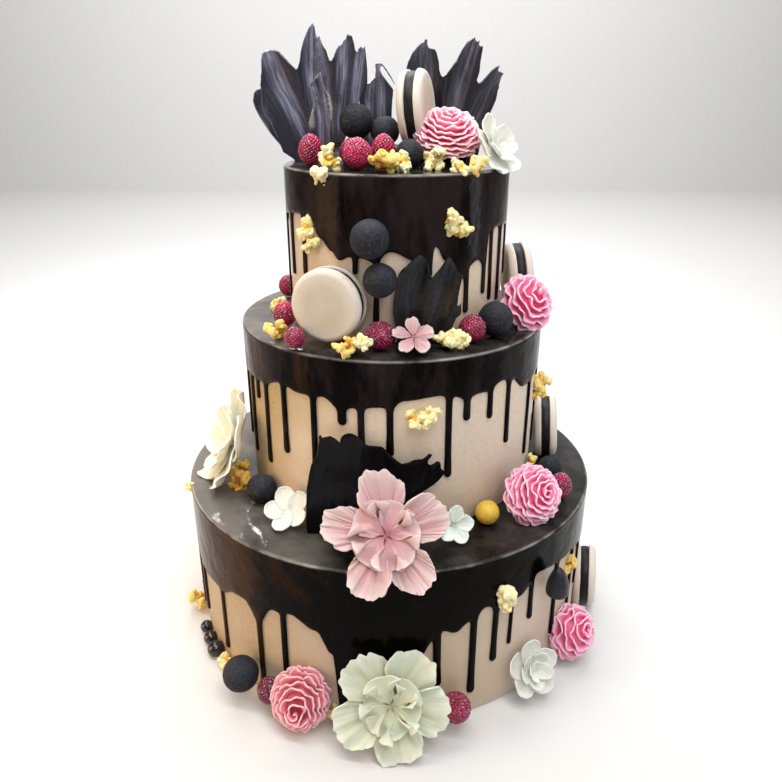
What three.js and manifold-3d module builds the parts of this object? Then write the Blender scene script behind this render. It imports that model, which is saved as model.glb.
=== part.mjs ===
// A three-tier celebration cake: pale buttercream tiers under a dark chocolate glaze that
// runs down in drips, dressed with brushed chocolate shards, macarons, truffles, raspberries,
// popcorn and sugar flowers. Millimetres, +Z up, +X right, the front towards -Y.
// The origin is the centre of the flat bottom of the lowest tier.

import * as THREE from 'three';
import { mergeVertices } from 'three/addons/utils/BufferGeometryUtils.js';
import Module from 'manifold-3d';

const wasm = await Module();
wasm.setup();

// Driving dimensions

const seamGap = 0.3;
const glazeThickness = 1.6;
const dripSetBack = 0.4;
const petalThickness = 1.6;
const shardThickness = 2.2;
const roundSegments = 48;
const weldTolerance = 1e-4;

// Each tier: centre offset in X, outside radius of the glazed rim, and the heights of its
// foot and its glazed top above the table.
const tiers = {
  bottom: { x: 0, radius: 152, foot: 0, top: 121 },
  middle: { x: 2, radius: 107, foot: 121 + seamGap, top: 239 },
  top: { x: 5, radius: 75.5, foot: 239 + seamGap, top: 342 },
};

// Where ornaments stand: the axis they are measured round, and the height of the surface.
const ledges = {
  board: { x: tiers.bottom.x, height: 0 },
  lower: { x: tiers.middle.x, height: tiers.bottom.top },
  middle: { x: tiers.top.x, height: tiers.middle.top },
  top: { x: tiers.top.x, height: tiers.top.top },
};

// Glaze: how far its lower edge hangs down the side, as [angle, length] pairs, and its drips,
// as [angle, length, width]. Angles run from the front towards the right, in degrees.
// The back half goes on by a seeded rule.
const glazes = {
  bottom: {
    edge: [[-90, 52], [-75, 50], [-60, 56], [-49, 54], [-44, 48], [-40, 47], [-35, 58], [-30, 44],
      [-25, 42], [-18, 50], [-14, 66], [-12, 119], [4, 119], [7, 66], [12, 46], [16, 50], [20, 43],
      [24, 36], [28, 40], [34, 38], [40, 27], [47, 29], [55, 32], [70, 40], [90, 46]],
    drips: [[-80, 96, 4], [-72, 104, 4], [-65, 98, 4.5], [-50.6, 106, 4.5], [-35, 116, 5], [-27, 102, 5],
      [11.6, 92, 6], [20.9, 104, 5.5], [27, 83, 5], [31.8, 74, 3], [38.6, 62, 4.5], [49.5, 92, 5],
      [60, 88, 4.5], [67, 78, 4], [84, 92, 4.5]],
    seed: 11,
  },
  middle: {
    edge: [[-90, 30], [-75, 33], [-54, 31], [-42, 25], [-34, 28], [-24, 27], [-18, 33], [-11, 31],
      [-1, 30], [4, 26], [16, 24], [20, 25], [25, 28], [33, 27], [42, 23], [47, 25], [56, 35],
      [72, 33], [90, 30]],
    drips: [[-84, 74, 4], [-74, 84, 4], [-66, 92, 4.5], [-59, 46, 4], [-52.5, 90, 4.5], [-41.4, 75, 5],
      [-28, 80, 5], [-17, 44, 6], [-10.4, 66, 5], [-0.8, 64, 5], [19.5, 82, 5], [26.2, 44, 5],
      [36.4, 47, 4.5], [45.9, 70, 4.5], [62.5, 91, 4], [80, 96, 4.5]],
    seed: 23,
  },
  top: {
    edge: [[-90, 36], [-75, 30], [-62, 28], [-48, 26], [-40, 40], [-33, 47], [-29, 52], [-21, 48],
      [-12, 51], [-3, 45], [8, 50], [15, 51], [18, 42], [24, 52], [32, 64], [38, 56], [43, 54],
      [48, 56], [52, 36], [65, 36], [90, 40]],
    drips: [[-82, 90, 3.5], [-67, 69, 3.5], [-53, 66, 4], [-20.6, 60, 3.5], [-9.9, 92, 4],
      [15.4, 61, 3], [29.3, 83, 4], [36, 87, 4], [48.5, 77, 3.5], [54.6, 83, 3.5], [65, 86, 3.5],
      [84, 74, 4]],
    seed: 37,
  },
};
const backDrips = { every: 21, shortest: 0.35, longest: 0.78, narrowest: 3.6, widest: 5.4 };

// Dollops of glaze that hold up the tall ornaments: [x, y, radius, height]
const dollops = [[-26, -4, 24, 14], [3, -4, 17, 12], [33, -18, 24, 14]];

// Repeatable chance

function dice(seed) {
  let state = seed * 2654435761;
  return (low, high) => {
    state = (Math.imul(state ^ (state >>> 15), 2246822519) + 374761393) >>> 0;
    return low + (high - low) * ((state >>> 8) / 16777216);
  };
}

const radians = THREE.MathUtils.degToRad;

function polar(angle, radius) {
  return [radius * Math.sin(radians(angle)), -radius * Math.cos(radians(angle))];
}

// Closed meshes to solids and back

function toSolid(geometry) {
  const bare = geometry.clone();
  bare.deleteAttribute('normal');
  bare.deleteAttribute('uv');
  const welded = mergeVertices(bare, weldTolerance);
  const triangles = [];
  const index = welded.index.array;
  for (let i = 0; i < index.length; i += 3) {
    const [a, b, c] = [index[i], index[i + 1], index[i + 2]];
    if (a !== b && b !== c && c !== a) triangles.push(a, b, c);
  }
  return new wasm.Manifold(new wasm.Mesh({
    numProp: 3,
    vertProperties: new Float32Array(welded.attributes.position.array),
    triVerts: new Uint32Array(triangles),
  }));
}

function toGeometry(solid) {
  const { vertProperties, triVerts } = solid.getMesh();
  const geometry = new THREE.BufferGeometry();
  geometry.setAttribute('position', new THREE.BufferAttribute(new Float32Array(vertProperties), 3));
  geometry.setIndex(new THREE.BufferAttribute(new Uint32Array(triVerts), 1));
  geometry.computeVertexNormals();
  return geometry;
}

// The largest body of a solid, without the scraps that trimming leaves
function mainBody(solid) {
  return solid.decompose().sort((a, b) => b.volume() - a.volume())[0];
}

function joined(solids) {
  return solids.reduce((whole, solid) => whole.add(solid));
}

// A shape spun round Z from [radius, height] pairs, from the axis at the bottom to the axis at the top
function spun(profile, segments) {
  const points = profile.map(([radius, height]) => new THREE.Vector2(radius, height));
  return new THREE.LatheGeometry(points, segments).rotateX(Math.PI / 2);
}

// A thin curved sheet round the Z axis, with the same triangles on both faces.
// place(turn, share) gives its middle surface, from the axis at share 0 to the rim at share 1.
function roundSheet(segments, rings, thickness, place) {
  const step = 1e-3;
  const front = [place(0, 0).setZ(place(0, 0).z + thickness / 2)];
  const back = [place(0, 0).setZ(place(0, 0).z - thickness / 2)];
  for (let ring = 1; ring <= rings; ring += 1) {
    for (let i = 0; i < segments; i += 1) {
      const turn = (2 * Math.PI * i) / segments;
      const share = ring / rings;
      const outward = place(turn, share).sub(place(turn, share - step));
      const round = place(turn + step, share).sub(place(turn - step, share));
      const half = outward.cross(round).normalize().multiplyScalar(thickness / 2);
      front.push(place(turn, share).add(half));
      back.push(place(turn, share).sub(half));
    }
  }
  const at = (ring, i) => 1 + (ring - 1) * segments + (i % segments);
  const top = [];
  for (let i = 0; i < segments; i += 1) {
    top.push(0, at(1, i), at(1, i + 1));
    for (let ring = 1; ring < rings; ring += 1) {
      const [a, b, c, d] = [at(ring, i), at(ring + 1, i), at(ring + 1, i + 1), at(ring, i + 1)];
      top.push(a, b, c, a, c, d);
    }
  }
  const faces = [...top];
  for (let i = 0; i < top.length; i += 3) {
    faces.push(top[i] + front.length, top[i + 2] + front.length, top[i + 1] + front.length);
  }
  for (let i = 0; i < segments; i += 1) {
    const [a, b] = [at(rings, i), at(rings, i + 1)];
    faces.push(b, a, a + front.length, b, a + front.length, b + front.length);
  }
  return new THREE.BufferGeometry().setFromPoints([...front, ...back]).setIndex(faces);
}

// Finishes: colour, roughness and metalness of each kind of piece

function finish(color, roughness) {
  return new THREE.MeshStandardMaterial({ color, roughness, metalness: 0 });
}

const finishes = {
  buttercream: () => finish('#cdb3a1', 0.6),
  glaze: () => finish('#140c0a', 0.08),
  shard: () => finish('#2b2629', 0.35),
  truffle: () => finish('#17181c', 0.8),
  drop: () => finish('#14151a', 0.5),
  gold: () => finish('#d9a92c', 0.55),
  macaron: () => finish('#e3cfbb', 0.7),
  raspberry: () => finish('#a8123c', 0.35),
  ruffle: () => finish('#f08fb0', 0.6),
  blush: () => finish('#eec3c4', 0.6),
  ivory: () => finish('#ece9d8', 0.6),
  mint: () => finish('#dfe8dc', 0.6),
};

// Popcorn: one blown kernel, a lump with four swellings

function kernel(seed, size) {
  const draw = dice(seed);
  const swellings = [0, 1, 2, 3].map(() => (
    new THREE.Vector3(draw(-1, 1), draw(-1, 1), draw(-1, 1)).normalize()
  ));
  const lump = new THREE.DodecahedronGeometry(1, 0);
  const position = lump.attributes.position;
  const point = new THREE.Vector3();
  for (let i = 0; i < position.count; i += 1) {
    point.fromBufferAttribute(position, i).normalize();
    const nearest = Math.max(...swellings.map((way) => point.dot(way)));
    point.multiplyScalar(size * (0.4 + 0.15 * nearest ** 3));
    position.setXYZ(i, point.x, point.y, point.z);
  }
  return toSolid(lump);
}

// Glaze

function glazeEdge(name) {
  const { edge, seed } = glazes[name];
  const draw = dice(seed);
  const usual = edge.reduce((sum, [, length]) => sum + Math.min(length, 60), 0) / edge.length;
  const points = [...edge];
  for (let angle = 98; angle < 265; angle += 8) points.push([angle, usual * draw(0.7, 1.3)]);
  points.push([270, edge[0][1]]);
  return (angle) => {
    const turned = angle >= 270 ? angle - 360 : angle;
    const next = Math.max(1, points.findIndex(([at]) => at >= turned));
    const [fromAngle, fromLength] = points[next - 1];
    const [toAngle, toLength] = points[next];
    const share = (turned - fromAngle) / (toAngle - fromAngle);
    return fromLength + (toLength - fromLength) * (0.5 - 0.5 * Math.cos(Math.PI * share));
  };
}

function allDrips(name) {
  const { drips, seed } = glazes[name];
  const draw = dice(seed + 1);
  const tall = tiers[name].top - tiers[name].foot;
  const behind = [];
  for (let angle = 96; angle < 264; angle += backDrips.every) {
    behind.push([angle + draw(-3, 3), tall * draw(backDrips.shortest, backDrips.longest),
      draw(backDrips.narrowest, backDrips.widest)]);
  }
  return [...drips, ...behind];
}

// A drip is a tongue with a round end, a little thinner than the skirt that it runs out of
function drip(radius, top, from, [angle, length, width]) {
  const half = width / 2;
  const outline = new THREE.Shape();
  outline.moveTo(half, -from);
  outline.lineTo(-half, -from);
  for (let turn = 180; turn <= 360; turn += 60) {
    outline.lineTo(half * Math.cos(radians(turn)), half - length + half * Math.sin(radians(turn)));
  }
  const tongue = new THREE.ExtrudeGeometry(outline, {
    depth: glazeThickness - dripSetBack - 0.1, bevelEnabled: false,
  });
  tongue.rotateX(Math.PI / 2).translate(0, glazeThickness - 0.1 - radius, top).rotateZ(radians(angle));
  return toSolid(tongue);
}

function glazeSolid(name) {
  const { x, radius, top } = tiers[name];
  const inside = radius - glazeThickness;
  const round = 2.5;
  const edge = glazeEdge(name);
  const lowerInside = 2;
  const lowerOutside = 3;
  const profile = [[0, -glazeThickness], [inside, -glazeThickness], [inside, -20], [radius, -20],
    [radius, -round], [radius - round, 0], [0, 0]];
  const skin = spun(profile, roundSegments);
  const position = skin.attributes.position;
  for (let i = 0; i < position.count; i += 1) {
    const at = i % profile.length;
    const angle = (Math.floor(i / profile.length) * 360) / roundSegments;
    if (at === lowerInside) position.setZ(i, -edge(angle) - 0.4);
    if (at === lowerOutside) position.setZ(i, -edge(angle));
  }
  const parts = [toSolid(skin).translate([0, 0, top])];
  const facet = 360 / roundSegments;
  allDrips(name).forEach((one) => {
    const angle = (one[0] + 360) % 360;
    const facetStart = facet * Math.floor(angle / facet);
    const skirt = Math.min(edge(facetStart), edge((facetStart + facet) % 360));
    parts.push(drip(radius, top, Math.max(skirt - 5, 10), one));
  });
  return joined(parts).translate([x, 0, 0]);
}

// Popcorn on each glaze and on the bare side of the cake: [ledge, angle, radius, height, size]
const popcorn = {
  glaze_top: [
    ['top', -36, 69, 6, 19], ['top', -38, 74.5, -3, 17], ['top', -8, 64, 6, 20], ['top', 3, 58.5, 5.6, 16],
    ['top', 23, 56, 5, 15], ['top', 26, 58, 9, 12], ['top', 31, 72, 3, 14], ['top', 39, 74, 1, 20],
    ['middle', 24.5, 77, 76, 17], ['middle', 29.5, 77.5, 69, 19], ['middle', -48, 77, 69, 18],
    ['middle', -44, 77.5, 60, 14],
  ],
  glaze_middle: [
    ['middle', -91, 86, 5.2, 15], ['middle', -48, 103, 6, 19], ['middle', -16.8, 102, 6.5, 19],
    ['middle', -12, 100, 9, 13], ['middle', 19, 92, 6, 18], ['middle', 24, 92, 6, 16],
    ['middle', 150, 88, 6, 18], ['lower', 77.5, 107, 72, 16], ['lower', 77.5, 107, 65, 13],
  ],
  glaze_bottom: [
    ['lower', -20, 122, 4.2, 12], ['lower', -69, 117, 7.5, 21], ['lower', -64.5, 121, 6.5, 20],
    ['lower', 205, 118, 6, 17], ['board', 28.4, 153, 92, 19], ['board', 29.6, 152.5, 83, 17],
    ['board', 57.2, 152.5, 77, 17], ['board', -72, 153, 120, 9],
  ],
  tier_middle: [['lower', 7.5, 107.5, 81, 17], ['lower', 12.5, 107.5, 81, 18],
    ['lower', 67.4, 109.5, 17, 12]],
  tier_bottom: [
    ['board', -49.6, 154, 6.8, 13.5], ['board', -77.5, 156, 10.2, 22], ['board', -13, 154.8, 8, 15],
    ['board', 140, 155, 8.5, 17],
  ],
};

function popcornFor(node) {
  return popcorn[node].map(([ledge, angle, radius, height, size], i) => {
    const [x, y] = polar(angle, radius);
    const place = ledges[ledge];
    return kernel(i * 7 + size, size)
      .rotate([0, 0, angle])
      .translate([place.x + x, y, place.height + height]);
  });
}

// Small glossy balls at the foot, left: [angle, radius of the ball]
const pearls = [[-55.6, 6.2], [-61, 5.2], [-66.2, 4.8], [-88, 4.4]];

function pearlSolids() {
  const side = tiers.bottom.radius - glazeThickness - seamGap;
  return pearls.map(([angle, radius]) => {
    const [x, y] = polar(angle, side + radius - 1.2);
    const ball = new THREE.SphereGeometry(radius, 7, 5).rotateX(Math.PI / 2);
    return toSolid(ball).translate([x, y, radius + 0.1]);
  });
}

function tierSolid(name) {
  const { x, radius, foot, top } = tiers[name];
  const side = radius - glazeThickness - seamGap;
  const height = top - glazeThickness - seamGap - foot;
  const body = spun([[0, 0], [side, 0], [side, height], [0, height]], roundSegments);
  return toSolid(body).translate([x, 0, foot]);
}

// Ornaments, each in its own frame with its face towards +Z

function truffle({ radius }) {
  return toSolid(new THREE.IcosahedronGeometry(radius, 1));
}

// A drop of chocolate: flat foot, pointed top
function chocolateDrop({ radius, tall }) {
  return toSolid(spun([[0, 0], [radius * 0.88, 0], [radius, tall * 0.14], [radius * 0.9, tall * 0.45],
    [radius * 0.56, tall * 0.8], [0, tall]], 12)).translate([0, 0, -tall / 2]);
}

// Two domed shells with a filling between them
function macaron({ radius, thick }) {
  const shell = [[radius, thick * 0.24], [radius * 0.84, thick * 0.45]];
  const filling = [radius * 0.94, thick * 0.1];
  const above = [filling, ...shell, [0, thick / 2]];
  const below = above.map(([distance, height]) => [distance, -height]).reverse();
  return toSolid(spun([...below, ...above], 16));
}

// A raspberry standing on its open end, with rows of bumps
function raspberry({ radius, tall }) {
  const around = 8;
  const bumps = new THREE.SphereGeometry(1, around, 6).rotateX(Math.PI / 2);
  const position = bumps.attributes.position;
  for (let i = 0; i < position.count; i += 1) {
    const column = i % (around + 1);
    const row = Math.floor(i / (around + 1));
    const swell = ((column % around) + row) % 2 === 0 ? 1.05 : 0.96;
    const z = position.getZ(i);
    const taper = z > 0 ? 1 - 0.18 * z * z : 1;
    const spread = Math.abs(z) > 0.99 ? 1 : swell * taper * radius;
    position.setXYZ(i, position.getX(i) * spread, position.getY(i) * spread, (z * tall) / 2);
  }
  return toSolid(bumps);
}

// A frilled rosette: rings of ruffled edges with deep grooves between them, rising to a dome
function ruffle({ radius, tall, seed }) {
  const around = 16;
  const draw = dice(seed);
  const phases = [draw(0, 6), draw(0, 6), draw(0, 6)];
  const profile = [[0, 0], [0.5, 0], [1, 0.24], [0.8, 0.36], [0.88, 0.58], [0.58, 0.62], [0.6, 0.86],
    [0.26, 0.8], [0.22, 1], [0, 0.93]];
  const shape = spun(profile.map(([r, z]) => [r * radius, z * tall]), around);
  const position = shape.attributes.position;
  for (let i = 0; i < position.count; i += 1) {
    const at = i % profile.length;
    const turn = (Math.floor(i / profile.length) % around) * ((2 * Math.PI) / around);
    const crest = at === 2 || at === 4 || at === 6;
    const wave = crest ? 1 + 0.06 * Math.sin(7 * turn + phases[at / 2 - 1]) : 1;
    const lift = crest ? 0.05 * tall * Math.sin(5 * turn + phases[at / 2 - 1]) : 0;
    position.setXYZ(i, position.getX(i) * wave, position.getY(i) * wave, position.getZ(i) + lift);
  }
  return toSolid(shape);
}

// One layer of petals, as a sheet whose rim is cut in between them
function petalLayer(radius, { count, turn, reach, notch, cup, wave, lift, perPetal, rings }) {
  const rim = radius * reach;
  return toSolid(roundSheet(count * perPetal, rings, petalThickness, (angle, share) => {
    const petal = Math.round((angle * count) / (2 * Math.PI));
    const side = (angle * count) / Math.PI - 2 * petal;
    const edge = rim * (1 - notch * side ** 4) * (1 + 0.04 * Math.sin(2.3 * petal));
    const frill = wave * radius * Math.sin(2.5 * Math.PI * side + petal) * share ** 2;
    return new THREE.Vector3(
      edge * share * Math.cos(angle),
      edge * share * Math.sin(angle),
      radius * (lift + cup * share ** 2 + 0.12 * Math.max(0, 1 - 3 * share)) + frill,
    );
  })).rotate([0, 0, turn]);
}

// A sugar flower: one or two layers of petals round a raised middle
function flower({ radius, layers }) {
  return joined(layers.map((layer) => petalLayer(radius, layer)));
}

const openPetals = (turn) => ({
  count: 5, turn, reach: 1, notch: 0.34, cup: 0.1, wave: 0.03, lift: 0.04, perPetal: 6, rings: 2,
});
const innerPetals = (turn) => ({
  count: 4, turn, reach: 0.55, notch: 0.3, cup: 0.24, wave: 0.05, lift: 0.06, perPetal: 4, rings: 1,
});
const roundPetals = (turn) => ({
  count: 5, turn, reach: 1, notch: 0.4, cup: 0.12, wave: 0, lift: 0.05, perPetal: 4, rings: 2,
});

// A shard of brushed chocolate: upright in XZ, cut out along an [x, z] outline, and bowed
// backwards (or forwards) towards its two sides.
function shard({ outline, bow = 1.2 }) {
  const flat = new THREE.Shape(outline.map(([x, z]) => new THREE.Vector2(x, z)));
  const slab = new THREE.ExtrudeGeometry(flat, { depth: shardThickness, bevelEnabled: false });
  slab.rotateX(Math.PI / 2).translate(0, shardThickness / 2, 0);
  slab.computeBoundingBox();
  const { min, max } = slab.boundingBox;
  const position = slab.attributes.position;
  for (let i = 0; i < position.count; i += 1) {
    const side = (2 * (position.getX(i) - min.x)) / (max.x - min.x) - 1;
    position.setY(i, position.getY(i) + bow * side * side);
  }
  return toSolid(slab);
}

const shapes = { truffle, chocolateDrop, macaron, raspberry, ruffle, flower, shard };

// Where each ornament sits. ledge, angle, radius and height place its middle; facing and lift
// turn its face away from +Z to a direction round the cake and above the horizon; roll turns
// it about that face. A shard stands upright at y, with its outline in x and z.

const upright = { facing: 0, lift: 90, roll: 0 };

const ornaments = {
  // On top
  shard_top_left: { shape: 'shard', finish: 'shard', y: 2, outline: [[-60, 341], [-68, 356], [-77, 391],
    [-80, 407], [-74, 410], [-68, 407], [-58, 399], [-54, 410], [-48, 427], [-45, 418], [-39, 411],
    [-36, 404], [-31, 413], [-25, 419], [-21, 412], [-15, 413], [-14, 405], [-13, 393], [-19, 378],
    [-33, 341]] },
  shard_top_side: { shape: 'shard', finish: 'shard', y: 9, bow: -1.6, outline: [[-59, 341], [-80, 359],
    [-87, 372], [-88, 380], [-87, 387], [-82, 393], [-72, 397], [-60, 392], [-46, 341]] },
  shard_top_front: { shape: 'shard', finish: 'shard', y: -7, outline: [[-44, 341], [-44, 360],
    [-50, 369], [-46, 375], [-50, 390], [-43, 397], [-36, 383], [-33, 360], [-33, 341]] },
  shard_top_middle: { shape: 'shard', finish: 'shard', y: 8, outline: [[-11, 341], [-14, 370],
    [-12, 392], [-7, 404], [-4, 404], [-3, 393], [4, 391], [4, 386], [0, 370], [1, 341]] },
  shard_top_right: { shape: 'shard', finish: 'shard', y: 17, outline: [[26, 341], [13, 378], [12, 394],
    [14, 404], [19, 413], [25, 418], [31, 412], [36, 395], [46, 408], [53, 416], [57, 419], [63, 413],
    [61, 402], [60, 392], [67, 399], [74, 402], [78, 397], [74, 388], [68, 369], [60, 341]] },
  truffle_top_left: { shape: 'truffle', finish: 'truffle', ledge: 'top', x: -21.4, y: -10.5,
    height: 26.2, radius: 11, ...upright },
  truffle_top_middle: { shape: 'truffle', finish: 'truffle', ledge: 'top', x: -2.7, y: -12,
    height: 20.4, radius: 9.4, ...upright },
  truffle_top_front: { shape: 'truffle', finish: 'truffle', ledge: 'top', x: 12.5, y: -44, height: 9.1,
    radius: 8.6, ...upright },
  macaron_top: { shape: 'macaron', finish: 'macaron', ledge: 'top', x: 17.5, y: -12, height: 33.5,
    radius: 24, thick: 17.5, facing: 75, lift: 5, roll: 0 },
  ruffle_top: { shape: 'ruffle', finish: 'ruffle', ledge: 'top', x: 36, y: -24, height: 14.5,
    radius: 22.5, tall: 20, seed: 3, facing: 12, lift: 62, roll: 0 },
  white_flower_top: { shape: 'flower', finish: 'ivory', ledge: 'top', x: 66, y: -32, height: 11,
    radius: 19.5, layers: [openPetals(20)], facing: 58, lift: 28, roll: 0 },
  raspberry_top_left: { shape: 'raspberry', finish: 'raspberry', ledge: 'top', x: -49, y: -32,
    height: 10.3, radius: 8, tall: 20, ...upright },
  raspberry_top_front: { shape: 'raspberry', finish: 'raspberry', ledge: 'top', x: -19.3, y: -52,
    height: 9.8, radius: 9.2, tall: 19, ...upright },
  raspberry_top_middle: { shape: 'raspberry', finish: 'raspberry', ledge: 'top', x: -3.5, y: -36,
    height: 10.5, radius: 7.8, tall: 20, ...upright },
  raspberry_top_back: { shape: 'raspberry', finish: 'raspberry', ledge: 'top', x: -24, y: -30,
    height: 9, radius: 7.6, tall: 17, ...upright },

  // Against the top tier and on the ledge below it
  truffle_side_high: { shape: 'truffle', finish: 'truffle', ledge: 'middle', angle: -10.8, out: 87.4,
    height: 68, radius: 11.6, ...upright },
  truffle_side_low: { shape: 'truffle', finish: 'truffle', ledge: 'middle', angle: -7, out: 86.2,
    height: 43.4, radius: 10.4, ...upright },
  macaron_middle_left: { shape: 'macaron', finish: 'macaron', ledge: 'middle', x: -37, y: -76.5,
    height: 26.5, radius: 23, thick: 18, facing: -18, lift: 2, roll: 0 },
  macaron_middle_right: { shape: 'macaron', finish: 'macaron', ledge: 'middle', x: 91.5, y: 5,
    height: 24.6, radius: 24, thick: 18, facing: 92, lift: 4, roll: 0 },
  shard_middle: { shape: 'shard', finish: 'shard', y: -77.6, bow: 0.6, outline: [[6, 238], [2, 251],
    [6, 279], [11, 288], [19, 296], [23, 291], [25, 284], [30, 289], [39, 293], [44, 284], [42, 271],
    [46, 269], [37, 258], [32, 250], [31, 238]] },
  raspberry_middle_back: { shape: 'raspberry', finish: 'raspberry', ledge: 'middle', angle: -115,
    out: 91, height: 9, radius: 7.8, tall: 17, ...upright },
  raspberry_middle_left: { shape: 'raspberry', finish: 'raspberry', ledge: 'middle', angle: -62,
    out: 84.8, height: 9.3, radius: 8, tall: 18, ...upright },
  raspberry_middle_low: { shape: 'raspberry', finish: 'raspberry', ledge: 'middle', angle: -36.5,
    out: 106, height: 7.6, radius: 6.6, tall: 14, ...upright },
  raspberry_middle_front: { shape: 'raspberry', finish: 'raspberry', ledge: 'middle', angle: -7,
    out: 86.4, height: 9.3, radius: 10, tall: 18, ...upright },
  raspberry_middle_right: { shape: 'raspberry', finish: 'raspberry', ledge: 'middle', angle: 33.7,
    out: 85.6, height: 9.3, radius: 8.8, tall: 18, ...upright },
  truffle_middle_right: { shape: 'truffle', finish: 'truffle', ledge: 'middle', angle: 46.5, out: 87.4,
    height: 11.9, radius: 11.4, ...upright },
  ruffle_middle: { shape: 'ruffle', finish: 'ruffle', ledge: 'middle', x: 90, y: -33, height: 13,
    radius: 21, tall: 20, seed: 8, facing: 44, lift: 32, roll: 0 },
  pink_blossom: { shape: 'flower', finish: 'blush', ledge: 'middle', x: 14.5, y: -92, height: 10.2,
    radius: 13, layers: [roundPetals(18)], facing: 4, lift: 50, roll: 0 },

  // Against the middle tier and on the ledge below it
  macaron_lower_right: { shape: 'macaron', finish: 'macaron', ledge: 'lower', x: 121.5, y: 3,
    height: 24.6, radius: 24, thick: 18, facing: 80, lift: 4, roll: 0 },
  shard_lower: { shape: 'shard', finish: 'shard', y: -109.2, bow: 1, outline: [[-44, 120], [-53, 128],
    [-50, 166], [-44, 181], [-43, 192], [-36, 191], [-31, 186], [-25, 193], [-20, 191], [-13, 185],
    [-2, 182], [8, 172], [15, 174], [26, 179], [24, 173], [32, 173], [34, 166], [21, 153],
    [7, 120]] },
  white_flower_left: { shape: 'flower', finish: 'ivory', ledge: 'lower', x: -112.5, y: -35, height: 29,
    radius: 36, layers: [openPetals(30), innerPetals(10)], facing: -75, lift: 25, roll: 0 },
  truffle_lower_left: { shape: 'truffle', finish: 'truffle', ledge: 'lower', angle: -52.3, out: 114.5,
    height: 10.6, radius: 10.4, ...upright },
  white_blossom_left: { shape: 'flower', finish: 'ivory', ledge: 'lower', angle: -35, out: 119.5,
    height: 10.6, radius: 15.3, layers: [roundPetals(48)], facing: -20, lift: 48, roll: 0 },
  pink_flower: { shape: 'flower', finish: 'blush', ledge: 'lower', x: -2, y: -141, height: 19.5,
    radius: 38, layers: [openPetals(21), innerPetals(50)], facing: 0, lift: 33, roll: 0 },
  mint_blossom: { shape: 'flower', finish: 'mint', ledge: 'lower', x: 40.5, y: -117, height: 11,
    radius: 12.5, layers: [roundPetals(0)], facing: 16, lift: 36, roll: 0 },
  gold_ball: { shape: 'truffle', finish: 'gold', ledge: 'lower', angle: 32.8, out: 116, height: 8.5,
    radius: 8, ...upright },
  ruffle_lower: { shape: 'ruffle', finish: 'ruffle', ledge: 'lower', x: 92.5, y: -85, height: 14,
    radius: 21.5, tall: 22, seed: 15, facing: 34, lift: 28, roll: 0 },
  truffle_lower_right: { shape: 'truffle', finish: 'truffle', ledge: 'lower', angle: 71.5, out: 122,
    height: 9.6, radius: 9, ...upright },
  raspberry_lower_right: { shape: 'raspberry', finish: 'raspberry', ledge: 'lower', angle: 60.9,
    out: 134.8, height: 10.3, radius: 8, tall: 20, ...upright },

  // Against the bottom tier and at its foot
  chocolate_drop: { shape: 'chocolateDrop', finish: 'drop', ledge: 'board', angle: 44, out: 160.4,
    height: 88, radius: 7.8, tall: 21, ...upright },
  macaron_foot_right: { shape: 'macaron', finish: 'macaron', ledge: 'board', x: 157.6, y: -24,
    height: 24.4, radius: 24, thick: 18, facing: 76, lift: 3, roll: 0 },
  truffle_foot_left: { shape: 'truffle', finish: 'truffle', ledge: 'board', angle: -37.6, out: 164.3,
    height: 23.5, radius: 12, ...upright },
  raspberry_foot_left: { shape: 'raspberry', finish: 'raspberry', ledge: 'board', angle: -29.7,
    out: 161, height: 18.5, radius: 8.4, tall: 20, ...upright },
  ruffle_foot_left: { shape: 'ruffle', finish: 'ruffle', ledge: 'board', angle: -21.3, out: 156.5,
    height: 21.5, radius: 21, tall: 22, seed: 21, facing: -14, lift: 22, roll: 0 },
  white_flower_foot: { shape: 'flower', finish: 'ivory', ledge: 'board', x: 1, y: -168, height: 33,
    radius: 35.5, layers: [openPetals(-6), innerPetals(30)], facing: 0, lift: 22, roll: 0 },
  raspberry_foot_right: { shape: 'raspberry', finish: 'raspberry', ledge: 'board', angle: 15.3,
    out: 162.3, height: 20.5, radius: 10, tall: 21, ...upright },
  white_blossom_foot: { shape: 'flower', finish: 'ivory', ledge: 'board', angle: 37.2, out: 158.6,
    height: 24.5, radius: 19.5, layers: [roundPetals(10), { ...roundPetals(46), reach: 0.64, cup: 0.3,
    lift: 0.06, rings: 1 }], facing: 26, lift: 26, roll: 0 },
  ruffle_foot_right: { shape: 'ruffle', finish: 'ruffle', ledge: 'board', angle: 55.5, out: 155.5,
    height: 23, radius: 21, tall: 20, seed: 29, facing: 40, lift: 20, roll: 0 },

  // Round the back, the same kinds of ornament again
  ruffle_back: { shape: 'ruffle', finish: 'ruffle', ledge: 'lower', angle: 168, out: 119, height: 17,
    radius: 20, tall: 21, seed: 33, facing: 168, lift: 32, roll: 0 },
  truffle_back: { shape: 'truffle', finish: 'truffle', ledge: 'lower', angle: 186, out: 117.6,
    height: 10.4, radius: 10, ...upright },
  white_blossom_back: { shape: 'flower', finish: 'ivory', ledge: 'middle', angle: 176, out: 87,
    height: 11, radius: 14, layers: [roundPetals(30)], facing: 176, lift: 40, roll: 0 },
  raspberry_back: { shape: 'raspberry', finish: 'raspberry', ledge: 'middle', angle: 196, out: 85,
    height: 9.3, radius: 8.4, tall: 18, ...upright },
  macaron_back: { shape: 'macaron', finish: 'macaron', ledge: 'board', angle: 158, out: 163.6,
    height: 24.4, radius: 24, thick: 20, facing: 158, lift: 4, roll: 0 },
  pink_blossom_back: { shape: 'flower', finish: 'blush', ledge: 'board', angle: 176, out: 160,
    height: 16, radius: 17, layers: [roundPetals(12)], facing: 176, lift: 26, roll: 0 },
};

const up = new THREE.Vector3(0, 0, 1);
const across = new THREE.Vector3(1, 0, 0);

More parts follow.
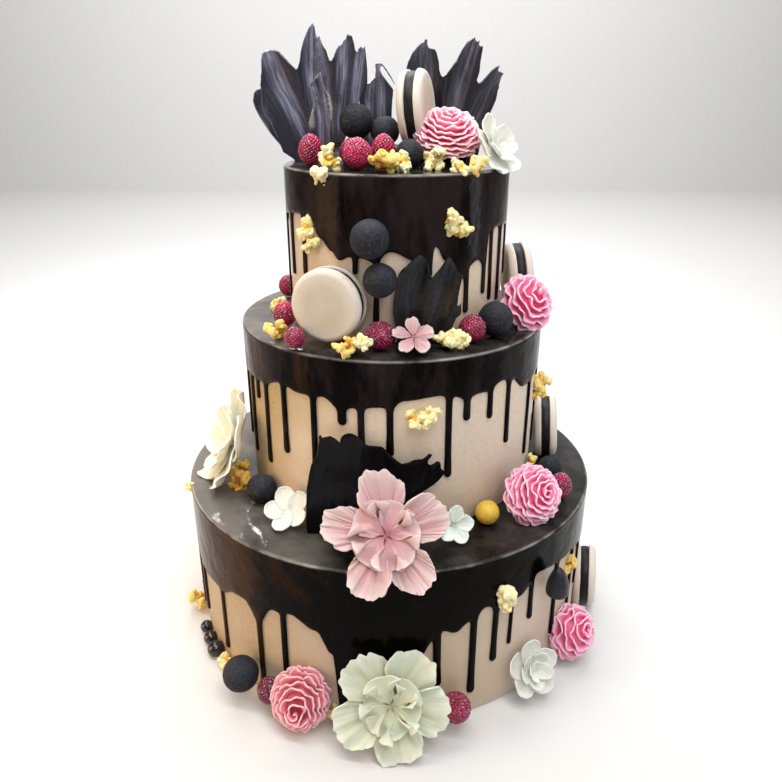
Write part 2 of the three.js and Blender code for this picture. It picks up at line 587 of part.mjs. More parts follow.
function placement(item) {
  const place = new THREE.Matrix4();
  if (item.shape === 'shard') return place.makeTranslation(0, item.y, 0);
  const ledge = ledges[item.ledge];
  const [x, y] = item.angle === undefined ? [item.x, item.y] : polar(item.angle, item.out);
  const centre = item.angle === undefined ? 0 : ledge.x;
  const [tilted, turned, rolled] = [90 - item.lift, item.facing, item.roll].map(radians);
  const turn = new THREE.Quaternion().setFromAxisAngle(up, turned);
  turn.multiply(new THREE.Quaternion().setFromAxisAngle(across, tilted));
  turn.multiply(new THREE.Quaternion().setFromAxisAngle(up, rolled));
  const middle = new THREE.Vector3(centre + x, y, ledge.height + item.height);
  return place.compose(middle, turn, new THREE.Vector3(1, 1, 1));
}

// What an ornament has to stay clear of: the three glazed tiers, a seam gap larger
function clearance() {
  const solids = Object.values(tiers).map(({ x, radius, foot, top }) => {
    const side = radius + seamGap;
    const height = top - foot + seamGap;
    const block = spun([[0, -2], [side, -2], [side, height], [0, height]], roundSegments);
    return toSolid(block).translate([x, 0, foot]);
  });
  return joined([...solids, ...dollopSolids(seamGap)]);
}

function dollopSolids(extra) {
  return dollops.map(([x, y, radius, height]) => {
    const dome = new THREE.SphereGeometry(1, 12, 6).rotateX(Math.PI / 2);
    dome.scale(radius + extra, radius + extra, height + extra);
    return toSolid(dome).translate([x, y, tiers.top.top]);
  });
}

// The whole cake. Later ornaments are trimmed by earlier ones where they press together.

const cake = new THREE.Group();
const keepOff = clearance();
const floorCut = toSolid(new THREE.BoxGeometry(500, 500, 40)).translate([0, 0, -19.8]);

function addMesh(name, solid, material, matrix = new THREE.Matrix4()) {
  const mesh = new THREE.Mesh(toGeometry(solid.transform(matrix.clone().invert().elements)), material);
  mesh.name = name;
  matrix.decompose(mesh.position, mesh.quaternion, mesh.scale);
  cake.add(mesh);
}

const placed = [];
Object.entries(ornaments).forEach(([name, item]) => {
  const matrix = placement(item);
  const body = shapes[item.shape](item);
  const box = body.boundingBox();
  const size = Math.max(...[0, 1, 2].map((axis) => box.max[axis] - box.min[axis]));
  let solid = body.transform(matrix.elements).subtract(keepOff).subtract(floorCut);
  placed.forEach(({ grown }) => {
    solid = solid.subtract(grown);
  });
  const middle = [0, 1, 2].map((axis) => (box.max[axis] + box.min[axis]) / 2);
  const growth = 1 + (2 * seamGap) / size;
  const grown = body.translate(middle.map((value) => -value)).scale(growth).translate(middle)
    .transform(matrix.elements);
  placed.push({ name, grown });
  addMesh(name, mainBody(solid), finishes[item.finish](), matrix);
});

// The ornaments press into the popcorn beside them
const ornamentsTogether = joined(placed.map(({ grown }) => grown));
const popcornKept = (node) => joined(popcornFor(node)).subtract(ornamentsTogether);

Object.keys(tiers).forEach((name) => {
  const glazeName = `glaze_${name}`;
  const tierName = `tier_${name}`;
  const { x, radius, foot, top } = tiers[name];
  const bare = radius - glazeThickness;
  const bareTop = top - foot - glazeThickness;
  const inside = toSolid(spun([[0, -5], [bare, -5], [bare, bareTop], [0, bareTop]], roundSegments))
    .translate([x, 0, foot]);
  let glaze = glazeSolid(name).add(popcornKept(glazeName).subtract(inside));
  if (name === 'top') glaze = glaze.add(joined(dollopSolids(0)).subtract(inside));
  let tier = tierSolid(name);
  if (popcorn[tierName]) tier = tier.add(popcornKept(tierName));
  if (name === 'bottom') tier = tier.add(joined(pearlSolids()));
  addMesh(tierName, mainBody(tier.subtract(floorCut)), finishes.buttercream());
  addMesh(glazeName, mainBody(glaze), finishes.glaze());
});

export default cake;
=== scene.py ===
import math
import random

import bmesh
import bpy
from mathutils import Matrix, Vector, geometry, noise


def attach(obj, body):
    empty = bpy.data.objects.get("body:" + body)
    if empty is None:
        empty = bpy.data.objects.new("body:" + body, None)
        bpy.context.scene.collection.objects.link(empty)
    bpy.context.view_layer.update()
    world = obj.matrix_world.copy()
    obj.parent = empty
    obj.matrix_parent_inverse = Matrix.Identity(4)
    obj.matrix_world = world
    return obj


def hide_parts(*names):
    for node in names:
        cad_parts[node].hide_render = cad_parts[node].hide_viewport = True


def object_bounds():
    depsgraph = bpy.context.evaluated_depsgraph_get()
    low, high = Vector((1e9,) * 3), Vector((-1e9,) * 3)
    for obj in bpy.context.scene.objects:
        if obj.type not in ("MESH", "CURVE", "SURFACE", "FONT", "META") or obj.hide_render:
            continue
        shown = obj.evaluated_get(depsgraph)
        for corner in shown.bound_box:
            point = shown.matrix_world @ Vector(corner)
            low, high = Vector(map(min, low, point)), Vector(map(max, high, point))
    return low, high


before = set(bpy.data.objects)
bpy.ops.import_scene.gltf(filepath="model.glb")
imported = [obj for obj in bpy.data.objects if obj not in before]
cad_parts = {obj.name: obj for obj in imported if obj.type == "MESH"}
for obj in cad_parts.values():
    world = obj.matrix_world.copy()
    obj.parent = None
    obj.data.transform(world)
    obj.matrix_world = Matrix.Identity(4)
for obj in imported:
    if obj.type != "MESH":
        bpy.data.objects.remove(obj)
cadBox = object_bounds()
mm = 0.001


def onlySelect(obj):
    if bpy.context.object and bpy.context.object.mode != "OBJECT":
        bpy.ops.object.mode_set(mode="OBJECT")
    bpy.ops.object.select_all(action="DESELECT")
    obj.select_set(True)
    bpy.context.view_layer.objects.active = obj


def newPiece(name, addShape, **settings):
    bpy.ops.object.select_all(action="DESELECT")
    addShape(**settings)
    bpy.context.object.name = name
    return bpy.context.object


def meshPiece(name, points, faces, edges=()):
    mesh = bpy.data.meshes.new(name)
    mesh.from_pydata([tuple(point) for point in points], edges, faces)
    mesh.update()
    obj = bpy.data.objects.new(name, mesh)
    bpy.context.scene.collection.objects.link(obj)
    return obj


def editAll(obj, *steps):                   # edit mode operators on the whole mesh
    onlySelect(obj)
    bpy.ops.object.mode_set(mode="EDIT")
    bpy.ops.mesh.select_all(action="SELECT")
    for step, settings in steps:
        step(**settings)
    bpy.ops.object.mode_set(mode="OBJECT")


def outwardNormals(obj, weld=0.00001):
    editAll(obj, (bpy.ops.mesh.remove_doubles, {"threshold": weld}),
            (bpy.ops.mesh.normals_make_consistent, {"inside": False}))


def applyPlace(obj):
    onlySelect(obj)
    bpy.ops.object.transform_apply(location=True, rotation=True, scale=True)


def applyModifier(obj, kind, **settings):
    modifier = obj.modifiers.new(kind.title(), kind)
    for key, value in settings.items():
        setattr(modifier, key, value)
    onlySelect(obj)
    bpy.ops.object.modifier_apply(modifier=modifier.name)


def joinPieces(pieces, name):
    onlySelect(pieces[0])
    for piece in pieces:
        piece.select_set(True)
    bpy.ops.object.join()
    pieces[0].name = name
    return pieces[0]


def shadeSmooth(obj, angle=None):
    onlySelect(obj)
    if angle:
        bpy.ops.object.shade_smooth_by_angle(angle=math.radians(angle))
    else:
        bpy.ops.object.shade_smooth()


def placePiece(obj, centre, facing=0, lift=90):         # turns a piece that was shaped face up, and moves it
    turn = Matrix.Rotation(math.radians(facing), 4, "Z") @ Matrix.Rotation(math.radians(90 - lift), 4, "X")
    obj.data.transform(Matrix.Translation(Vector(centre) * mm) @ turn)
    obj.data.update()


def keepInside(obj):                        # no tip reaches past the size of the solids
    for vertex in obj.data.vertices:
        vertex.co = [min(max(value, low), high) for value, low, high in zip(vertex.co, *cadBox)]


def finishPiece(obj, node, slot, *materials):
    keepInside(obj)
    for material in materials:
        obj.data.materials.append(material)
    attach(obj, "root")
    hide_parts(node)


def pointValues(obj, name, values):         # one number at each point, read by the materials
    obj.data.attributes.new(name, "FLOAT", "POINT").data.foreach_set("value", values)


def roundPlace(angle, out, x=0.0):          # angle from the front towards +X, in degrees
    turn = math.radians(angle)
    return x + out * math.sin(turn), -out * math.cos(turn)


def smoothStep(value):
    value = min(1.0, max(0.0, value))
    return value * value * (3 - 2 * value)


def wobble(x, y, z):
    return noise.noise(Vector((x, y, z)))


def linearOf(hexColour):
    parts = [int(hexColour[place:place + 2], 16) / 255 for place in (1, 3, 5)]
    return tuple(part / 12.92 if part < 0.04045 else ((part + 0.055) / 1.055) ** 2.4 for part in parts) + (1.0,)


def setInputs(node, inputs):                # an input is a value, a hex colour or another node's output
    for socket, value in inputs.items():
        if isinstance(value, bpy.types.NodeSocket):
            tree.links.new(value, node.inputs[socket])
        else:
            node.inputs[socket].default_value = linearOf(value) if isinstance(value, str) else value


def addNode(kind, inputs=None, **settings):
    node = tree.nodes.new(kind)
    for key, value in settings.items():
        setattr(node, key, value)
    setInputs(node, inputs or {})
    return node


def newMaterial(name):                      # the node helpers build in the latest material
    global tree, shader
    material = bpy.data.materials.new(name)
    material.use_nodes = True
    tree = material.node_tree
    tree.nodes.clear()
    shader = addNode("ShaderNodeBsdfPrincipled")
    addNode("ShaderNodeOutputMaterial", {"Surface": shader.outputs["BSDF"]})
    return material, objectPoints()


def setShader(material, **values):
    setInputs(shader, {key.replace("_", " "): value for key, value in values.items()})
    return material


def objectPoints(scale=(1, 1, 1)):
    return scaled(addNode("ShaderNodeTexCoord").outputs["Object"], scale)


def scaled(vector, scale):
    return addNode("ShaderNodeMapping", {"Vector": vector, "Scale": scale}).outputs["Vector"]


def noiseNode(vector, scale, detail, rough=0.5, distortion=0.0):
    return addNode("ShaderNodeTexNoise", {"Vector": vector, "Scale": scale, "Detail": detail, "Roughness": rough,
                                          "Distortion": distortion}).outputs["Fac"]


def rampNode(value, *stops):
    node = addNode("ShaderNodeValToRGB", {"Fac": value})
    elements = node.color_ramp.elements
    while len(elements) < len(stops):
        elements.new(0.5)
    for element, (position, colour) in zip(elements, stops):
        element.position = position
        element.color = linearOf(colour) if isinstance(colour, str) else (colour, colour, colour, 1)
    return node.outputs["Color"]


def mixNode(amount, first, second):
    return addNode("ShaderNodeMix", {0: amount, 6: first, 7: second}, data_type="RGBA").outputs[2]


def tinted(tone, colour, value, *stops):    # a second colour where the value is high
    return mixNode(rampNode(value, *stops), tone, colour)


def attributeNode(name, output="Fac"):
    return addNode("ShaderNodeAttribute", attribute_name=name).outputs[output]


def mathNode(operation, *values):
    return addNode("ShaderNodeMath", dict(enumerate(values)), operation=operation).outputs[0]


def alongAxis(vector, axis):
    return addNode("ShaderNodeSeparateXYZ", {"Vector": vector}).outputs[axis]


def leaning(points, value, slope, axis="X"):            # a value that changes along an axis
    return mathNode("MULTIPLY_ADD", alongAxis(points, axis), slope, value)


def facingUp():
    return alongAxis(addNode("ShaderNodeNewGeometry").outputs["Normal"], "Z")


def bumpNode(height, strength, distance, **below):
    return addNode("ShaderNodeBump", {"Height": height, "Strength": strength, "Distance": distance, **below}
                   ).outputs["Normal"]


creamLook = {"tone": "#dccab8", "warm": "#d3be9d", "warmLightLeft": "#a2894f", "lightRight": "#ecd6cb", "dark": "#c4b09f",
             "low": "#a8967f", "roughness": 0.5}


def creamMaterial():
    material, points = newMaterial("buttercream")
    patches, grain = noiseNode(points, 9, 3), noiseNode(points, 420, 4, 0.7)
    tone = tinted(creamLook["tone"], creamLook["warm"], patches, (0.35, 0.0), (0.7, 1.0))
    # painted warm light: the cream is yellower towards the left (-X)
    tone = tinted(tone, creamLook["warmLightLeft"], leaning(points, patches, -4.5), (0.62, 0.0), (0.98, 0.85))
    # painted light: the cream is paler and pinker towards the right (+X)
    tone = tinted(tone, creamLook["lightRight"], leaning(points, patches, 4.5), (0.8, 0.0), (1.0, 0.75))
    # painted shade: the cream is darker towards the bottom
    tone = tinted(tone, creamLook["low"], leaning(points, patches, -3.4, "Z"), (0.0, 0.0), (0.14, 0.7), (0.42, 0.45))
    tone = tinted(tone, creamLook["dark"], grain, (0.45, 0.0), (0.72, 0.6))
    normal = bumpNode(noiseNode(objectPoints((6, 6, 70)), 2.2, 5, 0.6), 0.35, 0.0006)
    return setShader(material, Base_Color=tone, Normal=bumpNode(grain, 0.2, 0.0002, Normal=normal),
                     Roughness=creamLook["roughness"], Subsurface_Weight=0.12, Subsurface_Scale=0.004,
                     Subsurface_Radius=(1.0, 0.6, 0.4), Specular_IOR_Level=0.4)


glazeLook = {"tone": "#060403", "warmReflectionLeft": "#3a2208", "line": "#a9a49e", "thin": "#2e2425",
             "top": "#0f0c0a", "topReflection": "#67635e",
             "side": {"level": 0.05, "ripple": 70, "depth": 0.0018, "peel": 0.12, "rough": (0.13, 0.24)},
             "flat": {"level": 0.13, "ripple": 30, "depth": 0.0022, "peel": 0.03, "rough": (0.04, 0.12)}}


def glazeMaterial(name, surface):
    material, points = newMaterial(name)
    patches = noiseNode(objectPoints((1, 1, 0.55)), 17, 5, 0.68, 0.5)
    runs = noiseNode(objectPoints((1, 1, 0.3)), 60, 5, 0.65)
    clouds = noiseNode(points, 24, 3, 0.5, 0.3)
    # painted warm reflection: brown patches on the glaze towards the left (-X)
    tone = tinted(glazeLook["tone"], glazeLook["warmReflectionLeft"], leaning(points, patches, -2.4), (0.64, 0.0), (0.82, 0.85))
    # paler in vertical runs, more of them higher up the cake
    tone = tinted(tone, glazeLook["thin"], leaning(points, runs, 1.4, "Z"), (0.78, 0.0), (1.12, 0.7))
    # painted reflection: the glaze tops are paler towards the left (-X)
    flat = tinted(glazeLook["top"], glazeLook["topReflection"], leaning(points, clouds, -4.2), (0.6, 0.0), (1.0, 1.0))
    tone = mixNode(attributeNode("flat"), tone, flat)
    brokenHighlight = rampNode(noiseNode(points, 38, 4, 0.6), (0.38, 0.1), (0.62, 0.85))      # painted highlight: a pale line along a rim
    tone = mixNode(mathNode("MULTIPLY", attributeNode("rim"), brokenHighlight), tone, glazeLook["line"])
    normal = bumpNode(noiseNode(points, surface["ripple"], 3, 0.45, 0.3), 0.5, surface["depth"])
    normal = bumpNode(runs, 0.3, 0.0006, Normal=normal)
    normal = bumpNode(noiseNode(points, 330, 2, 0.5), surface["peel"], 0.0002, Normal=normal)
    low, high = surface["rough"]
    return setShader(material, Base_Color=tone, Normal=normal, Specular_IOR_Level=surface["level"],
                     Roughness=rampNode(noiseNode(points, 30, 5, 0.6), (0.3, low), (0.8, high)))


cream = creamMaterial()
glaze = [glazeMaterial("glazeSide", glazeLook["side"]), glazeMaterial("glazeFlat", glazeLook["flat"])]
print("cake materials done")

tiers = {
    "bottom": {"x": 0.0, "radius": 152.0, "foot": 0.0, "top": 121.0},
    "middle": {"x": 2.0, "radius": 107.0, "foot": 121.3, "top": 239.0},
    "top": {"x": 5.0, "radius": 75.5, "foot": 239.3, "top": 342.0},
}
glazeThick = 1.6
seam = 0.3
bodyShape = {"around": 224, "rows": 14, "edge": 1.0, "uneven": 0.22}


def cakeBody(name):
    tier = tiers[name]
    tall = tier["top"] - glazeThick - seam - tier["foot"]
    body = newPiece("cake_" + name, bpy.ops.mesh.primitive_circle_add, vertices=bodyShape["around"],
                    radius=(tier["radius"] - glazeThick - seam) * mm, fill_type="NGON",
                    location=(tier["x"] * mm, 0, tier["foot"] * mm))
    row = {"value": (0, 0, tall * mm / bodyShape["rows"])}
    editAll(body, *[(bpy.ops.mesh.extrude_region_move, {"TRANSFORM_OT_translate": row})] * bodyShape["rows"])
    applyPlace(body)
    for vertex in body.data.vertices:
        spot = vertex.co
        around = Vector((spot.x - tier["x"] * mm, spot.y, 0))
        if around.length > 0.001:
            inward = bodyShape["uneven"] * (0.5 + 0.5 * wobble(spot.x * 22, spot.y * 22, spot.z * 40))
            if abs(spot.z - tier["foot"] * mm) < 0.0001:
                inward += bodyShape["edge"] * 0.6
            vertex.co -= around.normalized() * inward * mm
    outwardNormals(body)
    shadeSmooth(body, 40)
    finishPiece(body, "tier_" + name, "buttercream", cream)


# Glaze edges as [angle, length down the side] and drips as [angle, length, width], in mm
glazes = {
    "bottom": {
        "edge": [[-90, 52], [-75, 50], [-60, 56], [-49, 54], [-44, 48], [-40, 47], [-35, 58], [-30, 44],
                 [-25, 42], [-18, 50], [-14, 66], [-12, 119], [4, 119], [7, 66], [12, 46], [16, 50], [20, 43],
                 [24, 36], [28, 40], [34, 38], [40, 27], [47, 29], [55, 32], [70, 40], [90, 46]],
        "drips": [[-80, 96, 4], [-72, 104, 4], [-65, 98, 4.5], [-50.6, 106, 4.5], [-35, 116, 5], [-27, 102, 5],
                  [11.6, 92, 6], [20.9, 104, 5.5], [27, 83, 5], [31.8, 74, 3], [38.6, 62, 4.5], [49.5, 92, 5],
                  [60, 88, 4.5], [67, 78, 4], [84, 92, 4.5]],
        "seed": 11,
    },
    "middle": {
        "edge": [[-90, 30], [-75, 33], [-54, 31], [-42, 25], [-34, 28], [-24, 27], [-18, 33], [-11, 31],
                 [-1, 30], [4, 26], [16, 24], [20, 25], [25, 28], [33, 27], [42, 23], [47, 25], [56, 35],
                 [72, 33], [90, 30]],
        "drips": [[-84, 74, 4], [-74, 84, 4], [-66, 92, 4.5], [-59, 46, 4], [-52.5, 90, 4.5], [-41.4, 75, 5],
                  [-28, 80, 5], [-17, 44, 6], [-10.4, 66, 5], [-0.8, 64, 5], [19.5, 82, 5], [26.2, 44, 5],
                  [36.4, 47, 4.5], [45.9, 70, 4.5], [62.5, 91, 4], [80, 96, 4.5]],
        "seed": 23,
    },
    "top": {
        "edge": [[-90, 36], [-75, 30], [-62, 28], [-48, 26], [-40, 40], [-33, 47], [-29, 52], [-21, 48],
                 [-12, 51], [-3, 45], [8, 50], [15, 51], [18, 42], [24, 52], [32, 64], [38, 56], [43, 54],
                 [48, 56], [52, 36], [65, 36], [90, 40]],
        "drips": [[-82, 90, 3.5], [-67, 69, 3.5], [-53, 66, 4], [-20.6, 60, 3.5], [-9.9, 92, 4],
                  [15.4, 61, 3], [29.3, 83, 4], [36, 87, 4], [48.5, 77, 3.5], [54.6, 83, 3.5], [65, 86, 3.5],
                  [84, 74, 4]],
        "seed": 37, "mounds": [[-26, -4, 24, 14], [3, -4, 17, 12], [33, -18, 24, 14]],
    },
}
glazeShape = {"bead": 2.4, "lip": 0.4, "fillet": 5.0, "rim": 2.5, "rimSteps": 6, "fineStep": 0.6,
              "coarseStep": 1.7, "rowStep": 1.2, "plainStep": 3.5, "near": 2.2, "steep": 1.2, "reach": 14,
              "widen": 16, "backEvery": 21}


def sameDice(seed):                         # the same repeatable chance as the solids use
    state = seed * 2654435761

    def draw(low, high):
        nonlocal state
        state &= 0xffffffff
        state = (((state ^ (state >> 15)) * 2246822519 & 0xffffffff) + 374761393) & 0xffffffff
        return low + (high - low) * ((state >> 8) / 16777216)
    return draw


def glazeEdge(settings):                    # gives the glaze's length down the side at any angle
    draw = sameDice(settings["seed"])
    points = [tuple(pair) for pair in settings["edge"]]
    usual = sum(min(length, 60) for _, length in points) / len(points)
    points += [(angle, usual * draw(0.7, 1.3)) for angle in range(98, 265, 8)] + [(270, points[0][1])]

    def lengthAt(turn):
        turn = turn - 360 if turn >= 270 else turn
        for (fromAngle, fromLength), (toAngle, toLength) in zip(points, points[1:]):
            if turn <= toAngle:
                share = (turn - fromAngle) / (toAngle - fromAngle)
                return fromLength + (toLength - fromLength) * (0.5 - 0.5 * math.cos(math.pi * share))
        return points[-1][1]
    return lengthAt


def allDrips(settings, tall):
    draw = sameDice(settings["seed"] + 1)
    return settings["drips"] + [[angle + draw(-3, 3), tall * draw(0.35, 0.78), draw(3.6, 5.4)]
                                for angle in range(96, 264, glazeShape["backEvery"])]


def glazeSkin(name):
    tier, settings, shape = tiers[name], glazes[name], glazeShape
    radius, top, seed = tier["radius"], tier["top"], settings["seed"]
    wall = radius - glazeThick
    edge, drips = glazeEdge(settings), allDrips(settings, top - tier["foot"])
    perDegree = math.radians(radius)
    rng = random.Random(seed)
    leans = [rng.uniform(-0.6, 0.6) for _ in drips]
    swells = [rng.uniform(0.9, 1.2) for _ in drips]

    def apart(drip, turn):
        return ((drip[0] - turn + 180) % 360 - 180) * perDegree

    columns, angle = [], -90.0
    while angle < 270:
        columns.append(angle)
        near = min(abs(apart(drip, angle)) - drip[2] / 2 for drip in drips)
        slope = abs(edge((angle + 1) % 360) - edge((angle - 1) % 360)) / (2 * perDegree)
        angle += shape["fineStep" if near < shape["near"] or slope > shape["steep"] else "coarseStep"] / perDegree
    if 270 - columns[-1] < 0.5 * shape["fineStep"] / perDegree:
        columns.pop()
    count = len(columns)

    def closeness(turn, depth):             # how far inside the glaze a spot on the side is, in mm
        here = edge(turn % 360)
        slope = (edge((turn + 0.6) % 360) - edge((turn - 0.6) % 360)) / (1.2 * perDegree)
        inside = (here - depth) / math.sqrt(1 + slope * slope)
        for drip, lean, swell in zip(drips, leans, swells):
            across, half = apart(drip, turn), drip[2] / 2
            if abs(across) > shape["reach"]:
                continue
            endDepth = drip[1] - half * swell
            along = smoothStep((depth - (endDepth - shape["widen"])) / shape["widen"])
            run = half * (0.86 + 0.14 * along * swell) - math.hypot(across + lean * math.sin(depth * 0.05),
                                                                    max(0.0, depth - endDepth))
            blend = max(shape["fillet"] - abs(inside - run), 0) / shape["fillet"]
            inside = max(inside, run) + blend * blend * shape["fillet"] / 4 * (0.75 if depth > here - 9 else 0.0)
        return inside

    rows, depth = [], shape["rim"]
    lengths = [length for _, length in settings["edge"]]
    lowest = max([drip[1] for drip in drips] + lengths) + 1.5
    while depth < lowest:
        rows.append(depth)
        depth += shape["rowStep"] if depth > min(lengths) - shape["widen"] else shape["plainStep"]
    rows.append(depth)
    insides = [[closeness(turn, depth) for turn in columns] for depth in rows]
    points, inner, faces, grid = [], [], [], {}

    def addPoint(turn, out, height, innerOut, innerHeight):
        for x, y, z, wallPoints in ((*roundPlace(turn, out, tier["x"]), height, points),
                                    (*roundPlace(turn, innerOut, tier["x"]), innerHeight, inner)):
            wallPoints.append((x * mm, y * mm, z * mm))
        return len(points) - 1

    def sidePoint(turn, depth, inside):
        bead = min(1.0, max(0.0, inside) / shape["bead"])
        thick = glazeThick * (shape["lip"] + (1 - shape["lip"]) * math.sqrt(1 - (1 - bead) ** 2))
        thick *= 0.93 + 0.1 * wobble(turn * 0.16, depth * 0.02, seed)
        return addPoint(turn, wall + thick, top - depth, wall - 0.05, top - depth)

    def corner(row, column):
        if (row, column) not in grid:
            grid[row, column] = sidePoint(columns[column], rows[row], insides[row][column])
        return grid[row, column]

    def crossing(first, second):            # the point between two corners where the glaze ends
        key = (min(first, second), max(first, second))
        if key not in grid:
            (rowA, columnA), (rowB, columnB) = key
            a, b = insides[rowA][columnA], insides[rowB][columnB]
            share = min(0.9, max(0.1, a / (a - b)))
            turnA, turnB = columns[columnA], columns[columnB]
            if abs(turnB - turnA) > 180:
                turnB += 360 if turnB < turnA else -360
            depth = rows[rowA] + (rows[rowB] - rows[rowA]) * share
            grid[key] = sidePoint(turnA + (turnB - turnA) * share, depth, 0.0)
        return grid[key]

    for row in range(len(rows) - 1):
        for column in range(count):
            ahead = (column + 1) % count
            ring = [(row, column), (row + 1, column), (row + 1, ahead), (row, ahead)]
            signs = [insides[spot[0]][spot[1]] > 0 for spot in ring]
            if all(signs) or (any(signs) and signs[:2] == signs[2:]):       # or two corners that only touch
                faces.append([corner(*spot) for spot in ring])
            elif any(signs):
                outline = []
                for place in range(4):
                    following = (place + 1) % 4
                    if signs[place]:
                        outline.append(corner(*ring[place]))
                    if signs[place] != signs[following]:
                        outline.append(crossing(ring[place], ring[following]))
                faces.append(outline)

    # rounded rim and the flat top, with any mounds that ornaments lean on
    rings = []
    for step in range(1, shape["rimSteps"] + 1):
        bend = math.radians(90 * step / shape["rimSteps"])
        rings.append((radius - shape["rim"] * (1 - math.cos(bend)), -shape["rim"] * (1 - math.sin(bend))))
    mounds = settings.get("mounds", [])
    spacing = 3.0 if mounds else 16.0
    out = radius - shape["rim"]
    while out - spacing > spacing * 0.7:
        out -= spacing
        rings.append((out, 0.0))

    def moundHeight(x, y):
        tall = 0.0
        for moundX, moundY, wide, height in mounds:
            away = math.hypot(x - moundX, y - moundY) / wide
            if away < 1:
                tall = max(tall, height * (1 - away * away) ** 0.62)
        return tall

    previous = [corner(0, column) for column in range(count)]
    for out, drop in rings:
        ring = []
        for turn in columns:
            x, y = roundPlace(turn, out, tier["x"])
            height = drop + (moundHeight(x, y) + 0.12 * wobble(x * 0.05, y * 0.05, seed) if drop == 0.0 else 0.0)
            ring.append(addPoint(turn, out, top + height, min(out, wall) - 0.05, top - glazeThick))
        for column in range(count):
            ahead = (column + 1) % count
            faces.append([previous[column], previous[ahead], ring[ahead], ring[column]])
        previous = ring
    middle = addPoint(0, 0, top + moundHeight(tier["x"], 0), 0, top - glazeThick)
    faces += [[previous[column], previous[(column + 1) % count], middle] for column in range(count)]

    # the inner wall has the same faces turned round, and a strip closes the open edge
    total = len(points)
    edges = {(a, b): True for face in faces for a, b in zip(face, face[1:] + face[:1])}
    strip = [[b, a, a + total, b + total] for a, b in edges if (b, a) not in edges]
    back = [[vertex + total for vertex in reversed(face)] for face in faces]
    skin = meshPiece("glaze_skin_" + name, points + inner, faces + back + strip)
    outwardNormals(skin, 0.00004)
    heights = [vertex.co.z / mm - top for vertex in skin.data.vertices]
    # flat marks the tops, which carry the painted reflection
    pointValues(skin, "flat", [smoothStep(height + 1.2) for height in heights])
    # rim marks a band along the rim for the painted highlight line
    pointValues(skin, "rim", [math.exp(-((height + 0.75) / 0.5) ** 2) for height in heights])
    shadeSmooth(skin)
    finishPiece(skin, "glaze_" + name, "glaze", *glaze)
    for face in skin.data.polygons:
        face.material_index = 1 if face.center.z > (top - 0.4) * mm else 0
    print("tier", name, "glaze faces", len(skin.data.polygons))


for tierName in tiers:
    cakeBody(tierName)
    glazeSkin(tierName)


def roughen(obj, amount, scale, seed):      # uneven surface, in mm, along the normals
    normals = [vertex.normal.copy() for vertex in obj.data.vertices]
    for vertex, normal in zip(obj.data.vertices, normals):
        spot = vertex.co * (1000 / scale) + Vector((seed * 3.7, seed * 1.3, seed))
        vertex.co += normal * noise.fractal(spot, 1.0, 2.0, 3) * amount * mm
    obj.data.update()


def spinProfile(name, profile, steps):
    points = [(radius * mm, 0.0, height * mm) for radius, height in profile]
    obj = meshPiece(name, points, [], [(place, place + 1) for place in range(len(points) - 1)])
    editAll(obj, (bpy.ops.mesh.spin, {"steps": steps, "angle": 2 * math.pi, "center": (0, 0, 0), "axis": (0, 0, 1)}))
    outwardNormals(obj)
    return obj


def ballPiece(name, radius, place, rounds):
    ball = newPiece(name, bpy.ops.mesh.primitive_ico_sphere_add, subdivisions=rounds, radius=radius * mm,
                    location=place)
    applyPlace(ball)
    return ball


# Truffles as [x, y, z, radius] in mm
truffleLook = {"rounds": 5, "lumps": 0.22, "lumpScale": 7.0, "tone": "#0c0d11", "dust": "#353a44"}
truffles = {
    "truffle_top_left": (-21.4, -10.5, 368.2, 11.0), "truffle_top_middle": (-2.7, -12.0, 362.4, 9.4),
    "truffle_top_front": (12.5, -44.0, 351.1, 8.6), "truffle_side_high": (-11.4, -85.9, 307.0, 11.6),
    "truffle_side_low": (-5.5, -85.6, 282.4, 10.4), "truffle_middle_right": (68.4, -60.2, 250.9, 11.4),
    "truffle_lower_left": (-88.6, -70.0, 131.6, 10.4), "truffle_lower_right": (117.7, -38.7, 130.6, 9.0),
    "truffle_foot_left": (-100.2, -130.2, 23.5, 12.0), "truffle_back": (-10.3, 117.0, 131.4, 10.0),
    "gold_ball": (64.8, -97.5, 129.5, 8.0),
}


def dustAndTopLightMaterial(name, tone, dust, roughness, amount=0.75):
    material, points = newMaterial(name)
    clouds, specks = noiseNode(points, 60, 4, 0.6), noiseNode(points, 620, 3, 0.75)
    dustAndTopLight = tinted(tone, dust, clouds, (0.3, 0.0), (0.75, amount))
    # dust, and a painted top light: the dusted colour stays on upward-facing sides and fades to the plain tone below
    dustAndTopLight = tinted(tone, dustAndTopLight, facingUp(), (0.0, 0.15), (0.9, 1.0))
    normal = bumpNode(clouds, 0.4, 0.0005, Normal=bumpNode(specks, 0.7, 0.0005))
    return setShader(material, Base_Color=tinted(dustAndTopLight, dust, specks, (0.5, 0.0), (0.66, 0.8)), Normal=normal,
                     Roughness=roughness, Specular_IOR_Level=0.35)


truffleDustAndLight = dustAndTopLightMaterial("truffleDustAndTopLight", truffleLook["tone"], truffleLook["dust"], 0.72)
goldDustAndLight = dustAndTopLightMaterial("goldDustAndTopLight", "#cda42c", "#e6cb5e", 0.5)
for name, (x, y, z, radius) in truffles.items():
    ball = ballPiece(name + "_ball", radius, (x * mm, y * mm, z * mm), truffleLook["rounds"])
    roughen(ball, truffleLook["lumps"], truffleLook["lumpScale"], x)
    shadeSmooth(ball)
    finishPiece(ball, name, *(("gold", goldDustAndLight) if name == "gold_ball" else ("truffle", truffleDustAndLight)))
print("truffles done")

